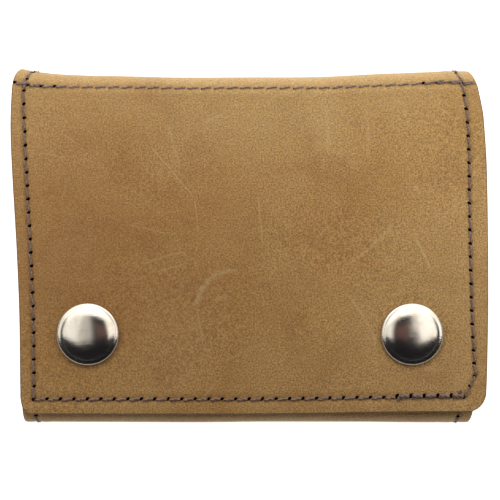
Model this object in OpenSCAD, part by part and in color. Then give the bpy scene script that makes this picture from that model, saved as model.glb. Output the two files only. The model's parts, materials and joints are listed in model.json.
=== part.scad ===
// Compact trifold leather wallet: a back panel, a front flap that folds over the top and is
// held by two snaps, and an inner flap that folds up from the bottom and carries a zipped
// coin pocket. The wallet lies closed on its back: X across, Y towards the top fold, Z up.

/* [Overall] */
// Width of the wallet across X
wallet_w = 113; // [90:1:140]
// Height of the closed wallet along Y
wallet_h = 84; // [70:1:105]

/* [Leather] */
// Thickness of the outer leather
leather_t = 1.5; // [1.2:0.1:1.8]
// Thickness of the lining leather
lining_t = 0.9; // [0.7:0.05:1.1]
// Outside radius of the bends of the top fold
top_fold_r = 4; // [3.4:0.1:5]
// Outside radius of the bends of the bottom fold
bottom_fold_r = 3.2; // [3:0.1:4]

/* [Front flap] */
// Distance from the bottom fold up to the edge of the front flap
flap_short = 2.1; // [1:0.1:6]
// Radius of the two free corners of the front flap
flap_corner_r = 5; // [3:0.5:8]
// Thickness of the slip pocket on the inside of the front flap
slip_t = 0.8; // [0.6:0.05:1]
// Length of the slip pocket from its bottom to its mouth
slip_len = 41; // [30:1:50]
// Distance from the top fold down to the mouth of the slip pocket
slip_top = 12; // [8:1:16]

/* [Card pockets] */
// Thickness of each card pocket
card_t = 0.8; // [0.6:0.05:1]
// Step between the mouths of neighbouring card pockets
card_step = 10; // [7:0.5:12]

/* [Inner flap] */
// Length of the inner flap from the bottom fold to its free edge
inner_len = 56; // [46:1:60]
// Radius of the two free corners of the inner flap
inner_corner_r = 4; // [2:0.5:6]
// Thickness of the outer panel of the coin pocket
coin_panel_t = 0.7; // [0.5:0.05:0.9]
// Width of the welt that closes the sides of the coin pocket
welt_w = 6; // [5:0.5:7]

/* [Zip] */
// Distance from the free edge of the inner flap to the middle of the zip
zip_inset = 11; // [10:0.5:14]
// Distance from the side of the wallet to each end of the zip chain
zip_end = 12.5; // [10:0.5:16]
// Width of the window in the coin pocket that shows the zip
zip_window_w = 8; // [7.4:0.2:9]
// Width of each half of the zip tape, from the teeth outwards
tape_w = 6.9; // [5:0.1:6.9]
// Thickness of the zip tape
tape_t = 0.5; // [0.4:0.05:0.6]
// Width of the closed chain of teeth
chain_w = 4.2; // [3.6:0.1:4.4]
// Thickness of the teeth
teeth_t = 1.2; // [1:0.05:1.5]
// Pitch of the teeth along the chain
teeth_pitch = 2; // [1.5:0.1:3]
// Length of the zip slider
slider_l = 8; // [7:0.5:10]
// Thickness of each plate of the slider
slider_plate_t = 0.5; // [0.4:0.05:0.6]
// Length of the leather tab on the zip pull
tab_l = 12; // [8:0.5:14]
// Width of the leather tab
tab_w = 5; // [4:0.5:7]

/* [Snaps] */
// Distance from the side of the wallet to the centre of a snap
snap_inset = 17.65; // [14:0.05:22]
// Distance from the edge of the front flap up to the centre of a snap
snap_up = 19.3; // [14:0.1:24]
// Diameter of the snap cap
cap_d = 15; // [12:0.5:17]
// Height of the snap cap above the leather
cap_h = 2.7; // [2:0.1:2.7]
// Width of the rolled rim around the cap
cap_rim = 0.9; // [0.6:0.1:1.2]
// Diameter of the shank that passes through the leather
shank_d = 3.2; // [2.6:0.1:3.6]
// Diameter of the flange of the socket
socket_d = 12.6; // [11:0.2:13]
// Diameter of the hole in the socket that takes the stud
socket_bore_d = 6.6; // [6.2:0.1:7]
// Height of the socket from the lining down
socket_h = 3.1; // [2.8:0.1:3.6]
// Diameter of the head of the stud
stud_d = 4.8; // [4:0.1:5]

/* [Seams] */
// Distance from a side edge to its seam
seam_inset = 3.25; // [2.5:0.25:4.5]
// Distance from the edge of the front flap to its bottom seam
edge_seam_inset = 3.5; // [2.5:0.25:4.5]
// Pitch of the stitches
stitch_pitch = 3.2; // [2.4:0.1:4]
// Thickness of the thread
thread_d = 0.6; // [0.4:0.05:0.8]

/* [Hidden] */
$fn = 48;
// Height of a stitch above the leather that it lies on
thread_rise = 0.2;
// Clearance between pieces that slide or swing past each other
clear = 0.15;
// Clearance between the closed layers
layer_gap = 0.3;
// Gap between the socket and the face of the inner flap
socket_gap = 0.6;
// Bridge of the slider: thickness of its bar, room under it, width and span
bridge_t = 0.55;
bridge_room = 0.95;
bridge_w = 1.6;
bridge_span = 4.8;
bridge_leg = 0.8;
slider_w = 6;
lip_w = 0.4;
channel_w = 0.9;
divider_w = 0.5;
divider_l = 1.5;
// Pull: thickness, eye, clamp and the tongue of leather held in the clamp
pull_t = 0.7;
eye_r = 2.4;
eye_hole_r = 1.4;
clamp_l = 4.2;
clamp_w = 4;
tongue_t = 0.3;
tongue_l = 2.2;
neck_w = 2.6;
socket_flange_t = 0.8;
socket_ring_wall = 1.4;
socket_roof_t = 0.6;
spring_wire = 0.4;
spring_gap = 1.2;
rivet_flare_r = 2.3;
rivet_flare_t = 0.35;
stud_flange_r = 4.5;
stud_flange_t = 0.35;
stud_neck_r = 1.9;
stud_h = 2.3;
stud_head_t = 1;
eyelet_r = 4;
eyelet_t = 0.5;
corner_seam_r = 1.6;
tack_l = 15.6;
tack_offset = 0.7;
stop_l = 1.2;

half_w = wallet_w / 2;
half_h = wallet_h / 2;
skin_t = leather_t + lining_t;
back_top = skin_t;
cards_top = back_top + 3 * card_t;
// The coin panel, its tape and the slider stack up from the card pockets
pull_z = cards_top + layer_gap;
slider_z = pull_z + pull_t + layer_gap / 3;
slider_t = 2 * slider_plate_t + 2 * clear + teeth_t;
chain_z = slider_z + slider_t / 2;
tape_z = chain_z - tape_t / 2;
coin_z = tape_z - coin_panel_t;
inner_lining_z = slider_z + slider_t + clear;
inner_top = inner_lining_z + skin_t;
wallet_t = inner_top + socket_gap + socket_h + skin_t;
flap_under = wallet_t - skin_t;

flap_edge_y = -half_h + flap_short;
inner_edge_y = -half_h + inner_len;
snap_x = half_w - snap_inset;
snap_y = flap_edge_y + snap_up;
zip_y = inner_edge_y - zip_inset;
panel_y = -half_h + bottom_fold_r + 0.4;
chain_x = half_w - zip_end;
window_x = chain_x + 2;
slider_x = chain_x - slider_l / 2 - stop_l;
pull_x = slider_x - bridge_span / 2 + bridge_leg / 2;
seam_x = half_w - seam_inset;
top_seam_y = half_h - top_fold_r - thread_d;
flap_seam_y = flap_edge_y + edge_seam_inset;
inner_seam_y = inner_edge_y - seam_inset;
card_mouth_y = [for (i = [0:2]) zip_y - zip_window_w / 2 + (2 - i) * card_step];

top_low = [half_h - top_fold_r, top_fold_r];
top_high = [half_h - top_fold_r, wallet_t - top_fold_r];
bottom_low = [-half_h + bottom_fold_r, bottom_fold_r];
bottom_high = [-half_h + bottom_fold_r, inner_top - bottom_fold_r];

TAN = [0.66, 0.52, 0.33];
LINING = [0.47, 0.34, 0.2];
THREAD = [0.2, 0.15, 0.1];
NICKEL = [0.8, 0.78, 0.74];
TAPE = [0.25, 0.18, 0.12];

// A profile drawn in (Y, Z), run across the width of the wallet
module along_x(w) {
    translate([-w / 2, 0, 0]) rotate([90, 0, 90]) linear_extrude(w) children();
}

// An eighth of a bend: the layer from depth a to depth b under an outside radius r
module bend(centre, r, a, b, start) {
    translate(centre) intersection() {
        difference() {
            circle(r - a);
            circle(r - b);
        }
        polygon([[0, 0], 2 * r * [cos(start), sin(start)],
            2 * r * [cos(start + 45), sin(start + 45)]]);
    }
}

// A flat sheet between two Y values whose corners at y0 are rounded
module sheet(y0, y1, z, t, r) {
    translate([0, 0, z]) linear_extrude(t) {
        translate([-half_w, y0 + r]) square([wallet_w, y1 - y0 - r]);
        translate([-half_w + r, y0]) square([wallet_w - 2 * r, 2 * r]);
        for (side = [-1, 1]) translate([side * (half_w - r), y0 + r]) circle(r);
    }
}

// A layer of the back panel, from depth a to depth b
module back_layer(a, b) {
    along_x(wallet_w) {
        translate([bottom_low[0], a]) square([top_low[0] - bottom_low[0], b - a]);
        bend(top_low, top_fold_r, a, b, -90);
        bend(bottom_low, bottom_fold_r, a, b, -135);
    }
}

module top_fold_layer(a, b) {
    along_x(wallet_w) {
        translate([half_h - b, top_low[1]]) square([b - a, top_high[1] - top_low[1]]);
        bend(top_low, top_fold_r, a, b, -45);
        bend(top_high, top_fold_r, a, b, 0);
    }
}

module bottom_fold_layer(a, b) {
    along_x(wallet_w) {
        translate([-half_h + a, bottom_low[1]])
            square([b - a, bottom_high[1] - bottom_low[1]]);
        bend(bottom_low, bottom_fold_r, a, b, -180);
        bend(bottom_high, bottom_fold_r, a, b, 135);
    }
}

// Holes for the shanks of the two snaps
module shank_holes() {
    for (side = [-1, 1]) translate([side * snap_x, snap_y, -1])
        cylinder(d = shank_d, h = wallet_t + 2);
}

module flap_layer(a, b) {
    difference() {
        union() {
            sheet(flap_edge_y, top_high[0], wallet_t - b, b - a, flap_corner_r);
            along_x(wallet_w) bend(top_high, top_fold_r, a, b, 45);
        }
        shank_holes();
    }
}

module inner_layer(a, b) {
    difference() {
        union() {
            mirror([0, 1, 0])
                sheet(-inner_edge_y, -bottom_high[0], inner_top - b, b - a, inner_corner_r);
            along_x(wallet_w) bend(bottom_high, bottom_fold_r, a, b, 90);
        }
        shank_holes();
    }
}

// Stitches along X at y, resting on the face at height z; up is 1 for a face that looks up
module stitches_x(x0, x1, y, z, up = 1) {
    n = floor((x1 - x0) / stitch_pitch);
    gap = (x1 - x0 - n * stitch_pitch) / 2;
    for (i = [0:n - 1])
        translate([x0 + gap + i * stitch_pitch + thread_d / 2, y - thread_d / 2,
            up > 0 ? z : z - thread_rise])
            cube([stitch_pitch - thread_d, thread_d, thread_rise]);
}

module stitches_y(x, y0, y1, z, up = 1) {
    n = floor((y1 - y0) / stitch_pitch);
    gap = (y1 - y0 - n * stitch_pitch) / 2;
    for (i = [0:n - 1])
        translate([x - thread_d / 2, y0 + gap + i * stitch_pitch + thread_d / 2,
            up > 0 ? z : z - thread_rise])
            cube([thread_d, stitch_pitch - thread_d, thread_rise]);
}

// Stitches up the flat of a fold, on the face at y; out is 1 for a face that looks to +Y
module stitches_z(x, y, z0, z1, out) {
    n = floor((z1 - z0) / stitch_pitch);
    gap = (z1 - z0 - n * stitch_pitch) / 2;
    for (i = [0:n - 1])
        translate([x - thread_d / 2, out > 0 ? y : y - thread_rise,
            z0 + gap + i * stitch_pitch + thread_d / 2])
            cube([thread_d, thread_rise, stitch_pitch - thread_d]);
}

// ---- back panel ----
module back_shell() { color(TAN) back_layer(0, leather_t); }
module back_lining() { color(LINING) back_layer(leather_t, skin_t); }

module card_pocket(i) {
    color(TAN) translate([-half_w, panel_y, back_top + i * card_t])
        cube([wallet_w, card_mouth_y[i] - panel_y, card_t]);
}
module card_pocket_1() { card_pocket(0); }
module card_pocket_2() { card_pocket(1); }
module card_pocket_3() { card_pocket(2); }

// Side seams in four runs, one on each card pocket and one on the lining above them
module back_thread() {
    ends = [panel_y + stitch_pitch, card_mouth_y[2], card_mouth_y[1], card_mouth_y[0],
        top_low[0]];
    color(THREAD) for (side = [-1, 1], i = [0:3])
        stitches_y(side * seam_x, ends[i], ends[i + 1], back_top + (3 - i) * card_t);
}

// ---- top fold ----
module top_fold_shell() { color(TAN) top_fold_layer(0, leather_t); }
module top_fold_lining() { color(LINING) top_fold_layer(leather_t, skin_t); }
module top_fold_thread() {
    color(THREAD) for (side = [-1, 1])
        stitches_z(side * seam_x, half_h, top_low[1], top_high[1], 1);
}

// ---- front flap ----
module flap_shell() { color(TAN) flap_layer(0, leather_t); }
module flap_lining() { color(LINING) flap_layer(leather_t, skin_t); }
// The slip pocket is cut away round the snaps wherever it would reach them
module slip_pocket() {
    color(TAN) difference() {
        translate([-half_w, half_h - slip_top - slip_len, flap_under - slip_t])
            cube([wallet_w, slip_len, slip_t]);
        for (side = [-1, 1]) translate([side * snap_x, snap_y, flap_under - slip_t - 1])
            cylinder(r = socket_d / 2 + layer_gap, h = slip_t + 2);
    }
}
module flap_thread() {
    color(THREAD) {
        for (side = [-1, 1])
            stitches_y(side * seam_x, flap_seam_y + thread_d, top_seam_y - thread_d, wallet_t);
        stitches_x(-seam_x, seam_x, flap_seam_y, wallet_t);
        stitches_x(-half_w, half_w, top_seam_y, wallet_t);
        stitches_x(seam_x - corner_seam_r - tack_l, seam_x - corner_seam_r,
            flap_seam_y + tack_offset, wallet_t);
    }
}

// ---- snaps ----
module snap_cap(side) {
    dome_r = cap_d / 2 - cap_rim / 2;
    ball_r = (dome_r * dome_r + cap_h * cap_h) / (2 * cap_h);
    shank_l = skin_t + socket_roof_t;
    color(NICKEL) translate([side * snap_x, snap_y, wallet_t]) {
        intersection() {
            translate([0, 0, cap_h - ball_r]) sphere(ball_r);
            cylinder(r = dome_r, h = cap_h);
        }
        rotate_extrude() {
            translate([cap_d / 2 - cap_rim / 2, cap_rim / 2]) circle(cap_rim / 2);
            square([cap_d / 2 - cap_rim / 2, cap_rim / 2]);
        }
        translate([0, 0, -shank_l]) cylinder(d = shank_d, h = shank_l + cap_rim / 2);
        translate([0, 0, -shank_l - rivet_flare_t])
            cylinder(r = rivet_flare_r, h = rivet_flare_t);
    }
}
module snap_cap_left() { snap_cap(-1); }
module snap_cap_right() { snap_cap(1); }

module snap_socket(side) {
    bore_r = socket_bore_d / 2;
    ring_r = bore_r + socket_ring_wall;
    color(NICKEL) translate([side * snap_x, snap_y, flap_under - socket_h]) difference() {
        union() {
            translate([0, 0, socket_h - socket_flange_t])
                cylinder(d = socket_d, h = socket_flange_t);
            cylinder(r = ring_r, h = socket_h);
        }
        translate([0, 0, -1]) cylinder(r = bore_r, h = socket_h - socket_roof_t + 1);
        translate([0, 0, -1]) cylinder(d = shank_d, h = socket_h + 2);
        translate([0, 0, socket_h / 2 - spring_wire])
            cylinder(r = bore_r + spring_wire, h = spring_wire);
    }
}
module snap_socket_left() { snap_socket(-1); }
module snap_socket_right() { snap_socket(1); }

// Split spring ring that sits in the groove of the socket
module socket_spring(side) {
    bore_r = socket_bore_d / 2;
    color(NICKEL) translate([side * snap_x, snap_y, flap_under - socket_h / 2 - spring_wire])
        difference() {
            cylinder(r = bore_r + spring_wire, h = spring_wire);
            translate([0, 0, -1]) cylinder(r = bore_r, h = spring_wire + 2);
            translate([0, -spring_gap / 2, -1]) cube([bore_r * 2, spring_gap, 3]);
        }
}
module socket_spring_left() { socket_spring(-1); }
module socket_spring_right() { socket_spring(1); }

module snap_stud(side) {
    color(NICKEL) translate([side * snap_x, snap_y, inner_top]) {
        cylinder(r = stud_flange_r, h = stud_flange_t);
        cylinder(r = stud_neck_r, h = stud_h);
        translate([0, 0, stud_h - stud_head_t]) cylinder(d = stud_d, h = stud_head_t);
        translate([0, 0, -skin_t - eyelet_t]) cylinder(d = shank_d, h = skin_t + eyelet_t);
    }
}
module snap_stud_left() { snap_stud(-1); }
module snap_stud_right() { snap_stud(1); }

module stud_eyelet(side) {
    color(NICKEL) translate([side * snap_x, snap_y, inner_lining_z - eyelet_t])
        difference() {
            cylinder(r = eyelet_r, h = eyelet_t);
            translate([0, 0, -1]) cylinder(d = shank_d, h = eyelet_t + 2);
        }
}
module stud_eyelet_left() { stud_eyelet(-1); }
module stud_eyelet_right() { stud_eyelet(1); }

// ---- bottom fold ----
module bottom_fold_shell() { color(TAN) bottom_fold_layer(0, leather_t); }
module bottom_fold_lining() { color(LINING) bottom_fold_layer(leather_t, skin_t); }
module bottom_fold_thread() {
    color(THREAD) for (side = [-1, 1])
        stitches_z(side * seam_x, -half_h, bottom_low[1], bottom_high[1], -1);
}

// ---- inner flap and coin pocket ----
module inner_shell() { color(TAN) inner_layer(0, leather_t); }
module inner_lining() { color(LINING) inner_layer(leather_t, skin_t); }

module coin_panel() {
    color(TAN) difference() {
        mirror([0, 1, 0]) sheet(-inner_edge_y, -panel_y, coin_z, coin_panel_t, inner_corner_r);
        translate([-window_x, zip_y - zip_window_w / 2, coin_z - 1])
            cube([2 * window_x, zip_window_w, coin_panel_t + 2]);
    }
}

module coin_welt() {
    welt_z = coin_z + coin_panel_t;
    inside_y = zip_y + chain_w / 2 + tape_w;
    color(LINING) difference() {
        mirror([0, 1, 0])
            sheet(-inner_edge_y, -panel_y, welt_z, inner_lining_z - welt_z, inner_corner_r);
        translate([-half_w + welt_w, panel_y + welt_w, welt_z - 1])
            cube([wallet_w - 2 * welt_w, inside_y - panel_y - welt_w, wallet_t]);
    }
}

module zip_tape(side) {
    length = wallet_w - 2 * welt_w;
    y0 = side > 0 ? zip_y + chain_w / 2 : zip_y - chain_w / 2 - tape_w;
    color(TAPE) translate([-length / 2, y0, tape_z]) cube([length, tape_w, tape_t]);
}
module zip_tape_upper() { zip_tape(1); }
module zip_tape_lower() { zip_tape(-1); }

// One row of teeth: a cord along the tape edge with a block at each pitch
module zip_teeth(side) {
    n = floor((2 * chain_x - 2 * stop_l) / teeth_pitch);
    row_w = chain_w / 2 - channel_w / 2;
    cord_w = row_w / 3;
    x0 = -n * teeth_pitch / 2;
    shift = side > 0 ? 0 : teeth_pitch / 2;
    color(NICKEL) translate([0, zip_y, 0]) mirror([0, side > 0 ? 0 : 1, 0]) {
        translate([x0, chain_w / 2 - cord_w, tape_z]) cube([n * teeth_pitch, cord_w, tape_t]);
        for (i = [0:n - 1]) if (i > 0 || side > 0)
            translate([x0 + i * teeth_pitch + shift - (side > 0 ? 0 : teeth_pitch),
                channel_w / 2, chain_z - teeth_t / 2])
                cube([teeth_pitch / 2, row_w, teeth_t]);
    }
}
module zip_teeth_upper() { zip_teeth(1); }
module zip_teeth_lower() { zip_teeth(-1); }

module zip_stops() {
    n = floor((2 * chain_x - 2 * stop_l) / teeth_pitch);
    end = n * teeth_pitch / 2;
    row_w = chain_w / 2 - channel_w / 2;
    color(NICKEL) for (side = [-1, 1]) {
        translate([end, zip_y + side * (chain_w + channel_w) / 4 - row_w / 2,
            chain_z - teeth_t / 2]) cube([stop_l, row_w, teeth_t]);
    }
    color(NICKEL) translate([-end - stop_l, zip_y - chain_w / 2, chain_z - teeth_t / 2])
        cube([stop_l, chain_w, teeth_t]);
}

module inner_thread() {
    y0 = panel_y + stitch_pitch;
    color(THREAD) {
        for (side = [-1, 1]) {
            stitches_y(side * seam_x, y0, inner_seam_y - thread_d, inner_top);
            stitches_y(side * seam_x, y0, inner_seam_y - thread_d, coin_z, -1);
        }
        stitches_x(-seam_x, seam_x, inner_seam_y, inner_top);
        stitches_x(-seam_x, seam_x, inner_seam_y, coin_z, -1);
        stitches_x(-window_x, window_x, zip_y - zip_window_w / 2 - thread_d * 2, coin_z, -1);
    }
}

// ---- zip slider and pull ----
module slider_body() {
    plate_z = [slider_z, slider_z + slider_t - slider_plate_t];
    lip_h = (slider_t - 2 * slider_plate_t - tape_t) / 2 - clear;
    bridge_h = bridge_room + bridge_t;
    color(NICKEL) translate([slider_x, zip_y, 0]) {
        for (z = plate_z) translate([-slider_l / 2, -slider_w / 2, z])
            cube([slider_l, slider_w, slider_plate_t]);
        for (side = [-1, 1]) {
            y = side > 0 ? slider_w / 2 - lip_w : -slider_w / 2;
            translate([-slider_l / 2, y, slider_z + slider_plate_t])
                cube([slider_l, lip_w, lip_h]);
            translate([-slider_l / 2, y, slider_z + slider_t - slider_plate_t - lip_h])
                cube([slider_l, lip_w, lip_h]);
        }
        translate([slider_l / 2 - divider_l, -divider_w / 2, slider_z])
            cube([divider_l, divider_w, slider_t]);
        translate([-bridge_span / 2, -bridge_w / 2, slider_z - bridge_h])
            cube([bridge_span, bridge_w, bridge_t]);
        for (x = [-bridge_span / 2, bridge_span / 2 - bridge_leg])
            translate([x, -bridge_w / 2, slider_z - bridge_h])
                cube([bridge_leg, bridge_w, bridge_h]);
    }
}

module pull_eye() {
    color(NICKEL) translate([pull_x, zip_y, pull_z]) difference() {
        union() {
            cylinder(r = eye_r, h = pull_t);
            translate([-eye_r - clamp_l, -clamp_w / 2, 0]) cube([clamp_l, clamp_w, pull_t]);
            translate([-eye_r - 1, -neck_w / 2, 0]) cube([2, neck_w, pull_t]);
        }
        translate([0, 0, -1]) cylinder(r = eye_hole_r, h = pull_t + 2);
        translate([-eye_r - clamp_l - 1, -clamp_w / 2 - 1, (pull_t - tongue_t) / 2])
            cube([tongue_l + 1, clamp_w + 2, tongue_t]);
    }
}

module pull_tab() {
    end_x = -eye_r - clamp_l;
    color(TAN) translate([pull_x, zip_y, pull_z]) {
        translate([end_x - tab_l + tab_w / 2, -tab_w / 2, 0])
            cube([tab_l - tab_w / 2, tab_w, pull_t]);
        translate([end_x - tab_l + tab_w / 2, 0, 0]) cylinder(d = tab_w, h = pull_t);
        translate([end_x, -clamp_w / 2, (pull_t - tongue_t) / 2])
            cube([tongue_l, clamp_w, tongue_t]);
    }
}

back_shell();
back_lining();
card_pocket_1();
card_pocket_2();
card_pocket_3();
back_thread();
top_fold_shell();
top_fold_lining();
top_fold_thread();
flap_shell();
flap_lining();
slip_pocket();
flap_thread();
snap_cap_left();
snap_cap_right();
snap_socket_left();
snap_socket_right();
socket_spring_left();
socket_spring_right();
bottom_fold_shell();
bottom_fold_lining();
bottom_fold_thread();
inner_shell();
inner_lining();
coin_panel();
coin_welt();
zip_tape_upper();
zip_tape_lower();
zip_teeth_upper();
zip_teeth_lower();
zip_stops();
inner_thread();
snap_stud_left();
snap_stud_right();
stud_eyelet_left();
stud_eyelet_right();
slider_body();
pull_eye();
pull_tab();
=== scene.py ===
"""Looks of a compact trifold leather wallet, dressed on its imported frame.

One strip of waxed leather runs from the front flap over the top fold, down the back, round the bottom
fold and along the inner flap. A lining, card pockets, a zipped coin pocket, two snaps and their seams
are built on that strip's own surface, so that they bend with it.
"""
from __future__ import annotations

import json
import logging
import math
from dataclasses import dataclass, field
from enum import Enum
from typing import Callable, Iterable, NamedTuple, Sequence

import bmesh
import bpy
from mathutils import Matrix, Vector, noise

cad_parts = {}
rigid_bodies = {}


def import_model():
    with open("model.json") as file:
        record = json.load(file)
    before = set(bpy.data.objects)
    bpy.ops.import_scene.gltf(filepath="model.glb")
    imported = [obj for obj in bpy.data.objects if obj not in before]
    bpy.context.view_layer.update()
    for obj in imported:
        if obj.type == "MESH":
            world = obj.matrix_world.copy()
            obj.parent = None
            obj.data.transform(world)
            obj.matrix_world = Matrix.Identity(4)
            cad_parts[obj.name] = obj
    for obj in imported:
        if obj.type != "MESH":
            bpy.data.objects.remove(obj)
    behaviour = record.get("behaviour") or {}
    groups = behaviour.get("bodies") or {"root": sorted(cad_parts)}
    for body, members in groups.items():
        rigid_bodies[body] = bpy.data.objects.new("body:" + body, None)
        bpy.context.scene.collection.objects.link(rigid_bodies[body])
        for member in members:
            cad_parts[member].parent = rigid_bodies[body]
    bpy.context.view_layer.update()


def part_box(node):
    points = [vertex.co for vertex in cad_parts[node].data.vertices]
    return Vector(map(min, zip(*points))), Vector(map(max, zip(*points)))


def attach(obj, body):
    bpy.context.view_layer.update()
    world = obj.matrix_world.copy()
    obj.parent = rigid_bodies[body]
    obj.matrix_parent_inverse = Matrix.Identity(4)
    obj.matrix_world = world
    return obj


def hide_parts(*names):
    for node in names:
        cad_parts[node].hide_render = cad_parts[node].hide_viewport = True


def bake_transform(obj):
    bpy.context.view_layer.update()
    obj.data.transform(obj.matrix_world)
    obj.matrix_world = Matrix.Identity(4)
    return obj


LOG = logging.getLogger("wallet")
MM = 0.001
SHARP_ANGLE = 35.0
Surface = Callable[[float, float, float], tuple[float, float, float]]
Colour = tuple[float, float, float]


# ---------------------------------------------------------------- small helpers


def smooth(low: float, high: float, value: float) -> float:
    """Ease from 0 at low to 1 at high."""
    t = min(max((value - low) / (high - low), 0.0), 1.0)
    return t * t * (3.0 - 2.0 * t)


def bell(distance: float, width: float) -> float:
    """A bell curve of height 1 at distance 0."""
    return math.exp(-((distance / width) ** 2))


def linear(red: int, green: int, blue: int) -> Colour:
    """Turn a screen colour, 0 to 255 a channel, into the linear colour that a shader takes."""
    def channel(value: int) -> float:
        """One channel."""
        v = value / 255.0
        return v / 12.92 if v <= 0.04045 else ((v + 0.055) / 1.055) ** 2.4
    return (channel(red), channel(green), channel(blue))


class Point(NamedTuple):
    """A point or a size in millimetres."""

    x: float
    y: float
    z: float


@dataclass(frozen=True)
class Box:
    """The box of one node of the frame, in millimetres."""

    low: Point
    high: Point

    @classmethod
    def of(cls, node: str) -> "Box":
        """Read the box of a node."""
        low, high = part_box(node)
        return cls(Point(*(c / MM for c in low)), Point(*(c / MM for c in high)))

    @property
    def middle(self) -> Point:
        """Its middle."""
        return Point(*((a + b) / 2 for a, b in zip(self.low, self.high)))

    @property
    def size(self) -> Point:
        """Its three sizes."""
        return Point(*(b - a for a, b in zip(self.low, self.high)))


@dataclass(frozen=True)
class Profile:
    """A smooth curve through a few stations.

    Args:
        stations: pairs of place and value, in rising order of place.
    """

    stations: tuple[tuple[float, float], ...]

    def at(self, place: float) -> float:
        """Value of the curve at a place, level past its ends."""
        points = self.stations
        if place <= points[0][0]:
            return points[0][1]
        if place >= points[-1][0]:
            return points[-1][1]
        i = max(k for k in range(len(points) - 1) if points[k][0] <= place)
        (p0, v0), (p1, v1) = points[i], points[i + 1]
        gap = p1 - p0
        t = (place - p0) / gap
        slope0 = self._slope(i) * gap
        slope1 = self._slope(i + 1) * gap
        t2, t3 = t * t, t * t * t
        return ((2 * t3 - 3 * t2 + 1) * v0 + (t3 - 2 * t2 + t) * slope0
                + (-2 * t3 + 3 * t2) * v1 + (t3 - t2) * slope1)

    def _slope(self, i: int) -> float:
        """Slope at station i: level at both ends, the chord of its neighbours between."""
        points = self.stations
        if i == 0 or i == len(points) - 1:
            return 0.0
        return (points[i + 1][1] - points[i - 1][1]) / (points[i + 1][0] - points[i - 1][0])


# ---------------------------------------------------------------- finishes


class Shader:
    """A material under construction: short calls that add and join nodes."""

    def __init__(self, name: str) -> None:
        """Start a material with a Principled surface."""
        self.material = bpy.data.materials.new(name)
        self.material.use_nodes = True
        self.tree = self.material.node_tree
        self.tree.nodes.clear()
        self.out = self.tree.nodes.new("ShaderNodeOutputMaterial")
        self.surface = self.tree.nodes.new("ShaderNodeBsdfPrincipled")
        self.tree.links.new(self.surface.outputs[0], self.out.inputs[0])
        self.place = self.tree.nodes.new("ShaderNodeTexCoord").outputs["Object"]

    def feed(self, socket: bpy.types.NodeSocket, value: object) -> None:
        """Join a socket to another one, or set it to a value."""
        if isinstance(value, bpy.types.NodeSocket):
            self.tree.links.new(value, socket)
        elif isinstance(value, tuple) and len(value) == 3 and socket.type == "RGBA":
            socket.default_value = (*value, 1.0)
        else:
            socket.default_value = value

    def set(self, name: str, value: object) -> None:
        """Set or join an input of the Principled surface."""
        self.feed(self.surface.inputs[name], value)

    def attribute(self, name: str) -> bpy.types.NodeSocket:
        """A number stored on the mesh's points."""
        node = self.tree.nodes.new("ShaderNodeAttribute")
        node.attribute_name = name
        return node.outputs["Fac"]

    def stretched(self, turn: float, scale: tuple[float, float, float]) -> bpy.types.NodeSocket:
        """Object coordinates turned about Z and stretched."""
        node = self.tree.nodes.new("ShaderNodeMapping")
        self.feed(node.inputs["Vector"], self.place)
        node.inputs["Rotation"].default_value = (0.0, 0.0, turn)
        node.inputs["Scale"].default_value = scale
        return node.outputs[0]

    def noise(self, size: float, detail: float = 4.0, rough: float = 0.5, warp: float = 0.0,
              place: bpy.types.NodeSocket | None = None) -> bpy.types.NodeSocket:
        """Fractal noise whose features are about size metres across."""
        node = self.tree.nodes.new("ShaderNodeTexNoise")
        self.feed(node.inputs["Vector"], place or self.place)
        node.inputs["Scale"].default_value = 1.0 / size
        node.inputs["Detail"].default_value = detail
        node.inputs["Roughness"].default_value = rough
        node.inputs["Distortion"].default_value = warp
        return node.outputs["Fac"]

    def cells(self, size: float, feature: str = "F1") -> bpy.types.NodeSocket:
        """Distance pattern of cells about size metres across."""
        node = self.tree.nodes.new("ShaderNodeTexVoronoi")
        node.feature = feature
        self.feed(node.inputs["Vector"], self.place)
        node.inputs["Scale"].default_value = 1.0 / size
        return node.outputs["Distance"]

    def ramp(self, value: bpy.types.NodeSocket,
             stops: Sequence[tuple[float, float]]) -> bpy.types.NodeSocket:
        """Map a value through grey stops of place and level."""
        node = self.tree.nodes.new("ShaderNodeValToRGB")
        self.feed(node.inputs[0], value)
        elements = node.color_ramp.elements
        while len(elements) < len(stops):
            elements.new(0.5)
        for element, (place, level) in zip(elements, stops):
            element.position = place
            element.color = (level, level, level, 1.0)
        return node.outputs["Color"]

    def mix(self, amount: object, first: object, second: object,
            mode: str = "MIX") -> bpy.types.NodeSocket:
        """Blend two colours."""
        node = self.tree.nodes.new("ShaderNodeMix")
        node.data_type = "RGBA"
        node.blend_type = mode
        self.feed(node.inputs["Factor"], amount)
        self.feed(node.inputs[6], first)
        self.feed(node.inputs[7], second)
        return node.outputs[2]

    def math(self, operation: str, first: object, second: object = 0.0) -> bpy.types.NodeSocket:
        """Combine two numbers."""
        node = self.tree.nodes.new("ShaderNodeMath")
        node.operation = operation
        self.feed(node.inputs[0], first)
        self.feed(node.inputs[1], second)
        return node.outputs[0]

    def bump(self, height: bpy.types.NodeSocket, depth: float, strength: float = 1.0,
             over: bpy.types.NodeSocket | None = None) -> bpy.types.NodeSocket:
        """Roughen the surface by a height pattern that is depth metres deep."""
        node = self.tree.nodes.new("ShaderNodeBump")
        node.inputs["Strength"].default_value = strength
        node.inputs["Distance"].default_value = depth
        self.feed(node.inputs["Height"], height)
        if over is not None:
            self.feed(node.inputs["Normal"], over)
        return node.outputs[0]


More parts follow.
